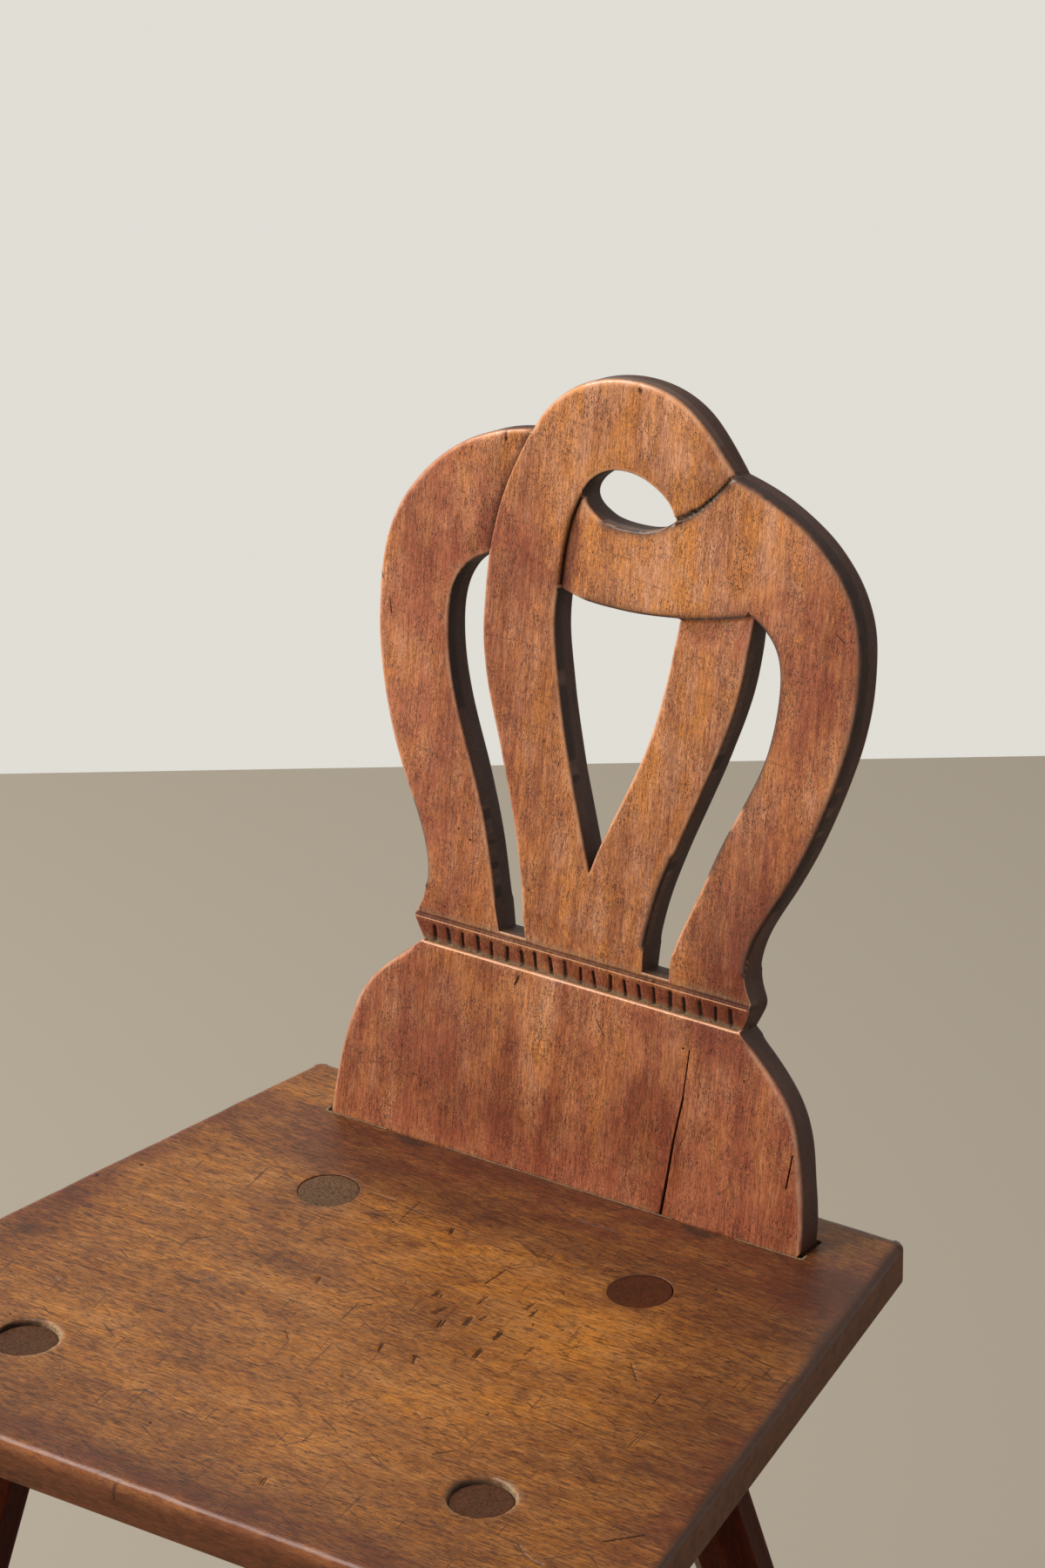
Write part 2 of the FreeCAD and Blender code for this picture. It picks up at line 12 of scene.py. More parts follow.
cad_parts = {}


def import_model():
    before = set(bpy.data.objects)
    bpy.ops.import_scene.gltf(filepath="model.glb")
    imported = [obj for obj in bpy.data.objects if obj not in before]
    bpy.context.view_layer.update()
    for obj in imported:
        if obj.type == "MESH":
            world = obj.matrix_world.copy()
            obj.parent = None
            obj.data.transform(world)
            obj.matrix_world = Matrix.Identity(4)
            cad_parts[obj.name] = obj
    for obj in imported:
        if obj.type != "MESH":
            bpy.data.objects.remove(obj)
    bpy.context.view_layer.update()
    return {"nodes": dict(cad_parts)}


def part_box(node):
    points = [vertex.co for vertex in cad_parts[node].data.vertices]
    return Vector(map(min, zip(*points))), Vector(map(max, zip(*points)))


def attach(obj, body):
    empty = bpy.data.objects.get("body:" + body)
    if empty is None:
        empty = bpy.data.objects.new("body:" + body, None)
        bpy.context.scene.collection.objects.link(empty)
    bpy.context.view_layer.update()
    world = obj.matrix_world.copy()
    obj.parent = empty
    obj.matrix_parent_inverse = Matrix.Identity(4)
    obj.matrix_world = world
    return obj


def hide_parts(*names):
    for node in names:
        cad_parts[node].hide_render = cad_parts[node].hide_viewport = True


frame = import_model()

DICE = random.Random(7)

# The solids, the room and the camera are in metres. What shapes the pieces is in millimetres.
MM = 0.001

# The camera stands in front of the chair and to its right, and looks down on the seat.
CAMERA_PLACE = (1.3186, -1.8134, 1.7721)
CAMERA_AZIMUTH = math.radians(34.342)
CAMERA_DIP = math.radians(25.226)
CAMERA_ROLL = math.radians(-0.983)
LENS = 128.94
SENSOR = 36

# How the planks are meshed
WALL_SHARES = (0.3, 0.6, 0.85)
ARRIS_TURNS = tuple(math.radians(turn) for turn in (0, 22, 45, 68, 90))
CORNER_TURN = 0.45
BESIDE_CORNER = 0.15
SMOOTHING_PASSES = 8
STEP_OFFSETS = (2.2, 1.3, 0.7, 0.3, 0.05, -0.1, -0.6, -1.6)
CUT_OFFSETS = (-1.35, -0.85, -0.4, 0, 0.4, 0.85, 1.35)
CLEAR = 0.45
GRID_SHARE = 0.55
MITRE_LIMIT = 0.65
SMALLEST_ARRIS = 0.05
SHARP_ANGLE = math.radians(50)
DEEP_CUT = 1.0
TENON_RADIUS = 15


def wave(a, b, rate, seed):
    """Smooth noise between -1 and 1; the rate is how fast it changes over a millimetre."""
    return noise.noise(Vector((a * rate, b * rate, seed)))


def uneven(a, b, scale, amount, seed):
    return amount * wave(a, b, 1 / scale, seed)


def bell(x):
    return math.exp(-x * x)


def rounding(away, radius):
    """How deep a round edge lies, away from where its flat begins to fall."""
    return radius - math.sqrt(radius ** 2 - (radius - away) ** 2) if 0 <= away < radius else 0.0


# Solids read from the frame, and their outlines

def cad_copy(node, inverse=Matrix.Identity(4)):
    """A copy of a node's solid in another frame, its split corners joined again."""
    solid = bmesh.new()
    solid.from_mesh(frame["nodes"][node].data)
    bmesh.ops.remove_doubles(solid, verts=solid.verts, dist=1e-6)
    solid.transform(inverse)
    solid.normal_update()
    return solid


def bisected(solid, height, **settings):
    """Cut a solid by a level plane; gives the edges of the cut."""
    cut = bmesh.ops.bisect_plane(solid, geom=solid.verts[:] + solid.edges[:] + solid.faces[:],
                                 plane_co=(0, 0, height * MM), plane_no=(0, 0, 1), **settings)
    return [part for part in cut["geom_cut"] if isinstance(part, bmesh.types.BMEdge)]


def bevelled(solid, edges, offset):
    bmesh.ops.bevel(solid, geom=edges, offset=offset * MM, segments=3, profile=0.5, affect="EDGES",
                    clamp_overlap=True)


def chains(edges):
    """Edges joined end to end, as lists of corners; a closed ring doesn't repeat its first one."""
    beside = {}
    for edge in edges:
        for corner in edge.verts:
            beside.setdefault(corner, []).append(edge.other_vert(corner))
    found, used = [], set()
    for start in [corner for corner in beside if len(beside[corner]) == 1] + list(beside):
        line, ahead = [], [start]
        while ahead := [corner for corner in ahead if corner not in used]:
            line.append(ahead[0])
            used.add(ahead[0])
            ahead = beside[ahead[0]]
        if line:
            found.append(line)
    return found


def flat_points(corners):
    return np.array([corner.co[:2] for corner in corners]) / MM


def section(solid, height):
    """The closed outlines where a level plane cuts a solid, longest first, with the material on the left."""
    cut = solid.copy()
    loops = [flat_points(ring) for ring in in_order(chains(bisected(cut, height)))]
    cut.free()
    return loops


def in_order(rings):
    """Closed rings of corners: the outer one first and to the left, the holes to the right."""
    rings = sorted((ring for ring in rings if len(ring) > 2), key=lambda ring: -abs(area(flat_points(ring))))
    return [ring if (area(flat_points(ring)) > 0) == (index == 0) else ring[::-1]
            for index, ring in enumerate(rings)]


def after(loop):
    return np.roll(loop, -1, axis=0)


def before(loop):
    return np.roll(loop, 1, axis=0)


def cross(ways, others):
    return ways[:, 0] * others[:, 1] - ways[:, 1] * others[:, 0]


def unit(ways):
    return ways / np.maximum(np.linalg.norm(ways, axis=1), 1e-9)[:, None]


def lefts(ways):
    """Unit steps to the left of each way."""
    ways = unit(ways)
    return np.stack([-ways[:, 1], ways[:, 0]], axis=1)


def area(loop):
    return 0.5 * float(np.sum(cross(loop, after(loop))))


def turns(loop):
    """How far the outline turns at each point, positive to the left."""
    ahead = after(loop) - loop
    return np.arctan2(cross(before(ahead), ahead), np.sum(before(ahead) * ahead, axis=1))


def on_ring(loop, marks, places):
    """Points of a closed outline by the marks of its corners and, last, of its first one again."""
    closed = np.vstack([loop, loop[:1]])
    return np.stack([np.interp(places, marks, closed[:, k]) for k in range(2)], axis=1)


def resampled(loop, step, breaks):
    """An outline at even steps, which keeps its hollow corners and the given places, and rounds the rest."""
    hollow = turns(loop) < -CORNER_TURN
    marks = np.concatenate([[0], np.cumsum(np.linalg.norm(after(loop) - loop, axis=1))])
    kept = list(marks[:-1][hollow])
    for place in breaks:
        away = np.linalg.norm(loop - place, axis=1)
        nearest = int(np.argmin(away))
        if away[nearest] < 2 * step and all(abs(marks[nearest] - mark) > step for mark in kept):
            kept.append(marks[nearest])
    kept = sorted(kept) or [0]
    held = bool(len(kept) > 1 or hollow[0])
    places, fixed = [], []
    for start, end in zip(kept, kept[1:] + [kept[0] + marks[-1]]):
        count = max(2, round((end - start) / step))
        inner = [start + (end - start) * k / count for k in range(1, count)]
        row = [start] + [start + BESIDE_CORNER] * held + inner + [end - BESIDE_CORNER] * held
        places += row
        fixed += [held and k in (0, 1, len(row) - 1) for k in range(len(row))]
    result = on_ring(loop, marks, np.mod(places, marks[-1]))
    for _ in range(2):
        middle = 0.25 * before(result) + 0.5 * result + 0.25 * after(result)
        result = np.where(np.array(fixed)[:, None], result, middle)
    return result


def smoothed(loop):
    """An outline without the solid's facets. Its corners stay."""
    free = (np.abs(turns(loop)) < CORNER_TURN)[:, None]
    for _ in range(SMOOTHING_PASSES):
        loop = np.where(free, (loop + (before(loop) + after(loop)) / 2) / 2, loop)
    return loop


def inward(loop):
    """For each point the way into the material, longer at a corner so that both sides move alike."""
    normal = lefts(after(loop) - loop)
    mean = unit(normal + before(normal))
    return mean / np.maximum(np.sum(mean * normal, axis=1), MITRE_LIMIT)[:, None]


def fitting(loop, radius):
    """Arris radii that nowhere fold the outline over itself, smoothed along it."""
    turn = turns(loop)
    length = np.linalg.norm(after(loop) - loop, axis=1)
    room = 0.375 * (length + before(length)) / np.maximum(turn, 1e-6)
    radius = np.minimum(radius, np.where(turn > 0.02, room, radius))
    for _ in range(3):
        radius = np.minimum(radius, (before(radius) + 2 * radius + after(radius)) / 4)
    return np.maximum(radius, SMALLEST_ARRIS)


def inside(points, loops):
    """Which points lie in the material, by counting the outline edges to their right."""
    order = np.argsort(points[:, 1])
    a, b = points[order].T
    count = np.zeros(len(points), int)
    for loop in loops:
        ends = after(loop)
        lows = np.searchsorted(b, np.minimum(loop[:, 1], ends[:, 1]))
        highs = np.searchsorted(b, np.maximum(loop[:, 1], ends[:, 1]))
        for (a0, b0), (a1, b1), low, high in zip(loop, ends, lows, highs):
            if high > low:
                count[low:high] += a[low:high] < a0 + (b[low:high] - b0) * (a1 - a0) / (b1 - b0)
    within = np.zeros(len(points), bool)
    within[order] = count % 2 == 1
    return within


def near_tree(points):
    tree = KDTree(len(points))
    for index, point in enumerate(points):
        tree.insert((*point, 0), index)
    tree.balance()
    return tree


def grid_points(outline, step):
    """Points spread unevenly over the box of an outline."""
    low, high = outline.min(axis=0), outline.max(axis=0)
    rise = step * math.sqrt(3) / 2
    points = []
    for row in range(int((high[1] - low[1]) / rise)):
        for column in range(int((high[0] - low[0]) / step)):
            points.append((low[0] + (column + 0.5 * (row % 2) + DICE.uniform(0.3, 0.7)) * step,
                           low[1] + (row + DICE.uniform(0.3, 0.7)) * rise))
    return np.array(points)


# Pieces

# The grime mark holds dirt and also painted shade, in corners, at the feet of steps and in the sunk holes;
# the light mark holds the wood's own lightness and also painted highlights and painted shade
MARKS = ("wall", "rim", "grime_and_shade", "dust", "red", "light")


class Build:
    """Corners, faces and the marks that the finishes read, gathered for one mesh."""

    def __init__(self):
        self.points, self.faces, self.marks = [], [], []

    def add(self, points, wall=0.0, rim=0.0, look=(0, 0, 0, 0)):
        """Add corners. A look is dirt with painted shade, dust, redness, and lightness with painted
        highlights and painted shade, one for all or one for each.
        """
        first = len(self.points)
        self.points += [tuple(point) for point in points]
        rows = np.zeros((len(points), len(MARKS)))
        rows[:, 0], rows[:, 1], rows[:, 2:] = wall, rim, look
        self.marks += list(rows)
        return list(range(first, len(self.points)))

    def row(self, below, place, height, wall=0.0, rim=0.0, look=(0, 0, 0, 0), flip=False):
        """Add a closed row of corners, joined to the row below or, over None, closed by a face."""
        row = self.add(np.column_stack([place, np.broadcast_to(height, len(place))]), wall, rim, look)
        if below is None:
            self.faces.append(tuple(row[::-1]))
            return row
        for i in range(len(below)):
            j = (i + 1) % len(below)
            corners = (below[i], below[j], row[j], row[i])
            self.faces.append(corners[::-1] if flip else corners)
        return row

    def piece(self, name, node, slot, grain, matrix=Matrix.Identity(4)):
        mesh = bpy.data.meshes.new(name)
        mesh.from_pydata(np.array(self.points) * MM, [], self.faces)
        dressed(name, mesh, np.array(self.marks), node, slot, grain, matrix)


def dressed(name, mesh, marks, node, slot, grain, matrix=Matrix.Identity(4)):
    """A finished piece in place of its node. grain turns its own frame into across, through and along it."""
    for index, mark in enumerate(MARKS):
        layer = mesh.attributes.new(mark, "FLOAT", "POINT")
        layer.data.foreach_set("value", np.ascontiguousarray(marks[:, index], np.float32))
    layer = mesh.attributes.new("grain", "FLOAT_VECTOR", "POINT")
    places = [grain @ vertex.co for vertex in mesh.vertices]
    layer.data.foreach_set("vector", np.array(places, np.float32).ravel())
    mesh.transform(matrix)
    mesh.shade_smooth()
    mesh.set_sharp_from_angle(angle=SHARP_ANGLE)
    mesh.materials.append(FINISHES[slot])
    thing = placed(name, mesh)
    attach(thing, "root")
    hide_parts(node)


def placed(name, data):
    thing = bpy.data.objects.new(name, data)
    bpy.context.scene.collection.objects.link(thing)
    return thing


# Planks

class Plank:
    """A plank in its own frame: a and b run over its face, and heights are above that face.

    loops are its outlines in the middle of its thickness and base their rows of corners. slants are how far
    they move sideways for each unit of height.
    """

    def __init__(self, node, matrix):
        self.build = Build()
        self.solid = cad_copy(node, matrix.inverted())
        self.tree = BVHTree.FromBMesh(self.solid)
        self.bottom = min(corner.co.z for corner in self.solid.verts) / MM
        self.middle = self.bottom / 2

    def depth(self, a, b):
        """How far the solid lies below the plank's face."""
        hit = self.tree.ray_cast(Vector((a * MM, b * MM, 5 * MM)), Vector((0, 0, -1)))[0]
        return max(0.0, -hit.z / MM) if hit is not None else 0.0

    def half(self, side, radius, relief, look, spacing, lines):
        """One face with the upper half of the walls, or for side -1 the lower half.

        Every outline rises from its base row, is rounded over by its radii and joins the face.
        Lines are (points, joined) on the face, which its triangles follow.
        """
        level = 0.0 if side > 0 else self.bottom
        rings, rows = [], []
        for index, (loop, row) in enumerate(zip(self.loops, self.base)):
            def moved(height):
                return loop + np.reshape(height - self.middle, (-1, 1)) * self.slants[index]

            def looks(place):
                return np.array([look(*point) for point in place])

            radii = fitting(loop, radius(index, loop))
            normal = inward(loop) * radii[:, None]
            deep = np.array([relief(*point) for point in moved(level) + normal])
            top = level - side * (deep + radii)
            on_wall = looks(moved(level))
            for share in WALL_SHARES:
                height = self.middle + (top - self.middle) * share
                row = self.build.row(row, moved(height), height, 1.0, 0.0, on_wall, side < 0)
            for turn in ARRIS_TURNS:
                height = level - side * (deep + radii * (1 - math.sin(turn)))
                place = moved(height) + normal * (1 - math.cos(turn))
                share = 2 - 2 * turn / ARRIS_TURNS[-1]
                worn = max(0, 1 - (share - 0.9) ** 2)
                row = self.build.row(row, place, height, max(0, share - 1), worn, looks(place), side < 0)
            rings.append(place)
            rows += row
        self.face(rings, rows, level, side, relief, look, spacing, lines)

    def face(self, rings, rows, level, side, relief, look, spacing, lines):
        """The triangles of a face, inside its rings."""
        ring_tree = near_tree(np.vstack(rings))
        flat, edges = [], []
        for ring in rings:
            first = len(flat)
            flat += [tuple(point) for point in ring]
            edges += [(first + k, first + (k + 1) % len(ring)) for k in range(len(ring))]
        all_good = inside(np.vstack([points for points, _ in lines]), rings) if lines else []
        for points, joined in lines:
            good, all_good = all_good[:len(points)], all_good[len(points):]
            good &= np.array([ring_tree.find((*point, 0))[2] > CLEAR for point in points])
            numbers = {}
            for k in np.flatnonzero(good):
                numbers[k] = len(flat)
                flat.append(tuple(points[k]))
            edges += [(numbers[k], numbers[k + 1]) for k in numbers if joined and k + 1 in numbers]
        line_tree = near_tree(flat)
        spread = grid_points(rings[0], spacing)
        spread = spread[inside(spread, rings)]
        flat += [tuple(point) for point in spread if line_tree.find((*point, 0))[2] > GRID_SHARE * spacing]

        flat = [Vector(point) for point in flat]
        corners, _, triangles, sources, _, _ = delaunay_2d_cdt(flat, edges, [], 0, 1e-5)
        corners = np.array(corners)
        numbers = []
        for corner, source in zip(corners, sources):
            ring_numbers = [rows[s] for s in source if s < len(rows)][:1]
            if not ring_numbers:
                height = level - side * relief(*corner)
                ring_numbers = self.build.add([(*corner, height)], look=look(*corner))
            numbers += ring_numbers
        centres = np.array([corners[list(triangle)].mean(axis=0) for triangle in triangles])
        for triangle, wanted in zip(triangles, inside(centres, rings)):
            triangle = tuple(numbers[k] for k in triangle)
            if wanted and len(set(triangle)) == 3:
                self.build.faces.append(triangle if side > 0 else triangle[::-1])


class Cuts:
    """Small dents, holes and splits in a face: straight grooves, each with a width and a depth."""

    def __init__(self, rows):
        """rows are (a, b, a, b, width, depth), from end to end."""
        self.rows = [(np.array((a, b), float), np.array((c, d), float), width / 2, depth)
                     for a, b, c, d, width, depth in rows]
        self.reach = max(half_width + np.linalg.norm(q - p) / 2 for p, q, half_width, _ in self.rows)
        self.tree = near_tree([(p + q) / 2 for p, q, _, _ in self.rows])

    def depth(self, a, b):
        deepest = 0.0
        for _, index, _ in self.tree.find_range((a, b, 0), self.reach):
            p, q, half_width, depth = self.rows[index]
            run = q - p
            square = np.dot(run, run)
            share = min(1.0, max(0.0, float(np.dot((a, b) - p, run) / max(square, 1e-6))))
            tapers = square > 0 and depth < DEEP_CUT
            ragged = 1 + (0.45 if tapers else 0.2) * wave(a, b, 1 / 0.9, 0)
            away = math.hypot(*(p + share * run - (a, b))) * ragged
            to_end = (0.5 - abs(share - 0.5)) * math.sqrt(square)
            narrow = half_width * (min(1.0, 0.35 + to_end / 1.3) if tapers else 1)
            if away < narrow:
                deepest = max(deepest, depth * (narrow / half_width) * (1 - (away / narrow) ** 2))
        return deepest

    def lines(self):
        """Points round and along each cut, for the face's triangles to follow."""
        found = []
        for p, q, half_width, _ in self.rows:
            run = q - p
            length = np.linalg.norm(run)
            way = run / length if length > 0 else np.array((1.0, 0.0))
            left = np.array((-way[1], way[0]))
            count = max(1, math.ceil(length / (1.5 * half_width + 0.4)))
            path = np.array([p + run * k / count for k in range(count + 1)])
            found += [(path + left * offset * half_width, False) for offset in CUT_OFFSETS]
            end = way * half_width * CUT_OFFSETS[-1]
            found.append((np.array([p - end, q + end]), False))
        return found


def step_paths(plank, deepest, lowest_b=-math.inf):
    """The upper edges of the low steps carved in a plank's face, as paths with the upper side on the left."""
    edges = []
    for edge in plank.solid.edges:
        if all(abs(corner.co.z) < 0.02 * MM and corner.co.y >= lowest_b * MM for corner in edge.verts):
            walls = [side for side in edge.link_faces if abs(side.normal.z) < 0.3]
            if any(-deepest < min(corner.co.z for corner in side.verts) / MM < -0.05 for side in walls):
                edges.append(edge)
    paths = []
    for chain in chains(edges):
        path = flat_points(chain)
        if len(chain) > 2 and any(set(edge.verts) == {chain[0], chain[-1]} for edge in edges):
            path = np.vstack([path, path[:1]])
        middle = len(path) // 2
        here, there = path[middle - 1], path[middle]
        left = (here + there) / 2 + 0.3 * lefts((there - here)[None])[0]
        paths.append(path if plank.depth(*left) < 0.05 else path[::-1])
    return paths


def subdivided(path, step):
    """A path with points added on its straight runs."""
    points = [path[0]]
    for start, end in zip(path[:-1], path[1:]):
        count = max(1, math.ceil(np.linalg.norm(end - start) / step))
        points += [start + (end - start) * k / count for k in range(1, count + 1)]
    return np.array(points)


class Steps:
    """Softens the upper edges of steps, and says how near a place is to their feet."""

    def __init__(self, paths, radius):
        self.radius = radius
        self.paths = [subdivided(path, 1.2) for path in paths]
        self.lefts = [lefts(np.gradient(path, axis=0)) for path in self.paths]
        self.samples, self.ways = np.vstack(self.paths), np.vstack(self.lefts)
        self.tree = near_tree(self.samples)

    def away(self, a, b):
        """The distance from the nearest edge, positive on its upper side."""
        _, index, distance = self.tree.find((a, b, 0))
        return distance if np.dot((a, b) - self.samples[index], self.ways[index]) > 0 else -distance

    def softening(self, a, b):
        return rounding(self.away(a, b), self.radius)

    def lines(self):
        return [(path + left * offset, True)
                for path, left in zip(self.paths, self.lefts) for offset in STEP_OFFSETS]


def blobs(patches, a, b):
    """How light and how red a place is, from soft round patches."""
    light = red = 0.0
    for x, y, reach_x, reach_y, lighter, redder in patches:
        weight = bell((a - x) / reach_x) * bell((b - y) / reach_y)
        light += lighter * weight
        red += redder * weight
    return light, red


def scattered(dice, count, low, high, width, depth):
    """Small random cuts, mostly up and down the face."""
    rows = []
    for _ in range(count):
        a, b = dice.uniform(low[0], high[0]), dice.uniform(low[1], high[1])
        turn = math.pi / 2 + dice.gauss(0, 0.35)
        length = dice.uniform(1.5, 5.5) / 2
        x, y = math.cos(turn) * length, math.sin(turn) * length
        rows.append((a - x, b - y, a + x, b + y, dice.uniform(*width), dice.uniform(*depth)))
    return rows


def scuffs(rows, dice):
    """Each wide short cut as three thin ones that nearly meet, as a chair leg or a heel leaves them."""
    found = []
    for x, y, end_x, end_y, width, depth in rows:
        if width < 1.0 or math.dist((x, y), (end_x, end_y)) > 12:
            found.append((x, y, end_x, end_y, width, depth))
            continue
        for side in (-0.36, 0.05, 0.4):
            slip = [dice.uniform(-0.5, 0.5) for _ in range(4)]
            shift = side * width
            found.append((x + shift + slip[0], y + 2 * slip[1], end_x + shift + slip[2], end_y + 2 * slip[3],
                          0.4 * width, 0.5 * depth))
    return found


# The seat

SEAT_STEP = 2.6
SEAT_ARRIS = 3.6
SEAT_FRONT_ARRIS = 5.6
REAR_RIM = 0.35
FRONT_RIM = 1.9
MORTISE_RIM = 0.2
UNDER_ARRIS = 1.8
UNDER_STEP = 1.6
FRONT_ZONE = 12
SIDE_ZONE = 14
BOARD_FRONT = 145
MORTISE_AREA = 500
GROOVE_PLACE = 200
FRONT_HOLES = -50

# Marks on the seat, placed from the middle of the chair: where they start and end, width and depth
SEAT_GOUGES = (
    (-71, 84, -54, 84.6, 1.5, 0.22), (-49, 82.6, -37, 81.4, 1.2, 0.22), (-64, 66, -50, 71, 1.6, 0.2),
    (-17.8, 79, -16.2, 72, 1.7, 0.7), (27, 115, 51, 115.6, 0.8, 0.18), (9.8, 27, 10.6, 21, 2.1, 0.9),
    (21, 17, 19, 9, 2.5, 0.8), (26.3, 7, 27.7, -1, 1.9, 0.9), (35.8, 16, 37.2, 7, 2.1, 0.9),
    (41.2, 20, 40.4, 14, 1.5, 0.7), (31, 35, 31.4, 26, 1.3, 0.5), (54.8, 12, 55.6, 3, 2.2, 1.0),
    (55.8, -6, 57.2, -14, 2.2, 1.0), (14.8, -26, 16.8, -32.6, 1.8, 0.8), (33.2, -26, 36.2, -34, 1.3, 0.7),
    (53, 41, 53, 34, 1.6, 0.7), (57.8, 36, 58.6, 29, 1.5, 0.7), (75, 9, 75, 0, 1.0, 0.5),
    (-44.4, 8, -42.8, 2, 1.3, 0.5), (-150, 19.5, -143, 19.9, 1.6, 0.7), (-53, -117, -46, -117.4, 1.4, 0.7),
    (37, -147, 39.2, -153, 1.4, 0.6), (190, -111, 203, -96, 1.3, 0.7), (146, 5, 147.6, -5, 0.7, 0.4),
    (24, 43, 25.2, 59, 1.0, 0.4), (-118, 1, -109, 11, 0.7, 0.3), (-91, -19.8, -83, -22.2, 1.0, 0.5),
    (60, -66, 67, -70.4, 1.0, 0.4), (-151, -59.8, -143, -62.2, 1.0, 0.5), (160, -132, 166, -136.4, 1.0, 0.5),
    (166, -136.4, 172, -139.2, 0.9, 0.5), (172, -139.2, 179, -140, 0.7, 0.4), (120, 20, 131, 8, 0.7, 0.3),
    (-30, -40, -23, -47, 0.7, 0.3), (88, -92, 95, -84, 0.9, 0.4), (-120, -110, -110, -113, 1.0, 0.4),
    (-25.9, -179.5, -25.6, -183, 0.95, 0.9), (-17, -183, -16.6, -187, 0.95, 0.8),
    (6.2, -180.5, 6.6, -188, 0.95, 1.3), (47.6, -185.5, 47.8, -188, 0.9, 0.8),
    (94, -183, 94.3, -187, 0.95, 0.9), (99, -181, 99.2, -184, 0.9, 0.6), (-72, -185, -71.5, -188, 0.9, 0.6),
    (-96, -181.5, -95.6, -184, 1.3, 0.5), (148, -181, 148.6, -185, 1.5, 0.6),
)
SEAT_DOTS = ((-180, 47.7, 1.2), (-45, 67.5, 0.9), (-33, -138, 0.8), (118, 96, 0.9), (128, -116, 1.0))
# Worn, redder and darker places: x and y, the reach along x and y, how much lighter, how much redder. The
# darker band along the back board, deepest at its right end, is painted shade of the board, and the darker
# right part is painted shade where the seat reflects the board.
SEAT_PATCHES = (
    (84, 26, 32, 30, 0.75, -0.4), (52, -52, 24, 18, 0.8, -0.3), (-8, -66, 40, 22, 0.1, -0.1),
    (-140, 28, 34, 26, 0.25, -0.1), (20, -110, 60, 26, 0.1, 0.0), (112, -24, 30, 24, 0.1, 0.0),
    (0, 135, 170, 9, -0.35, 1.3), (20, 120, 150, 16, -0.2, 0.7), (-110, 116, 44, 24, -0.2, 0.5),
    (0, -150, 240, 30, -0.2, 0.1), (190, 130, 34, 44, -0.3, 0.7), (150, 122, 30, 24, -0.3, 0.8),
    (0, -172, 260, 12, -0.3, 0.6), (205, -60, 16, 120, -0.15, 0.5), (170, 20, 50, 120, -0.4, 0.15),
    (-190, -30, 14, 150, -0.3, 0.5), (60, 90, 120, 20, -0.3, 0.1), (-40, 100, 100, 16, -0.25, 0.2),
    (-150, -130, 60, 30, -0.15, 0.1), (-60, 12, 36, 12, -0.25, 0.2), (-70, -30, 70, 7, -0.2, 0.2),
    (40, 5, 36, 20, -0.15, 0.1), (92, -26.7, 4, 4, -0.6, 0.6), (-25.7, 54, 4.5, 4, -0.4, 0.5),
    (-189, -31, 7, 5, -0.5, 0.4), (-57, 69, 12, 4, -0.3, 0.4), (20, 8, 6, 9, -0.15, 0.1),
    (140, 100, 30, 16, 0.1, 0.1),
)


def lower_half(plank):
    """The solid's own lower half, with its cut edges finely divided, which become the plank's outlines."""
    build, solid = plank.build, plank.solid.copy()
    lowest = (plank.bottom + 0.01) * MM
    arris = [edge for edge in solid.edges if all(corner.co.z < lowest for corner in edge.verts)
             and any(abs(side.normal.z) < 0.1 and side.calc_area() > 1e-3 for side in edge.link_faces)]
    bevelled(solid, arris, UNDER_ARRIS)
    bisected(solid, plank.middle, clear_outer=True)
    for edge in [edge for edge in solid.edges if len(edge.link_faces) == 1]:
        cuts = math.ceil(edge.calc_length() / (UNDER_STEP * MM)) - 1
        if cuts > 0:
            bmesh.ops.subdivide_edges(solid, edges=[edge], cuts=cuts)
    bmesh.ops.triangulate(solid, faces=solid.faces)
    solid.verts.index_update()
    numbers = build.add([corner.co / MM for corner in solid.verts], 1.0, look=(0.15, 0, 0.4, -0.5))
    build.faces += [tuple(numbers[corner.index] for corner in side.verts) for side in solid.faces]
    rings = in_order(chains([edge for edge in solid.edges if len(edge.link_faces) == 1]))
    plank.base = [[numbers[corner.index] for corner in ring] for ring in rings]
    plank.loops = [flat_points(ring) for ring in rings]
    solid.free()


def hole_slants(plank):
    """Only the leg holes slant."""
    centres = np.array([loop.mean(axis=0) for loop in section(plank.solid, 0.3 * plank.middle)])
    slants = []
    for loop in plank.loops:
        round_hole = abs(abs(area(loop)) - math.pi * TENON_RADIUS ** 2) < 60
        here = loop.mean(axis=0)
        above = centres[np.argmin(np.linalg.norm(centres - here, axis=1))]
        slants.append((above - here) / (-0.7 * plank.middle) if round_hole else np.zeros(2))
    return slants


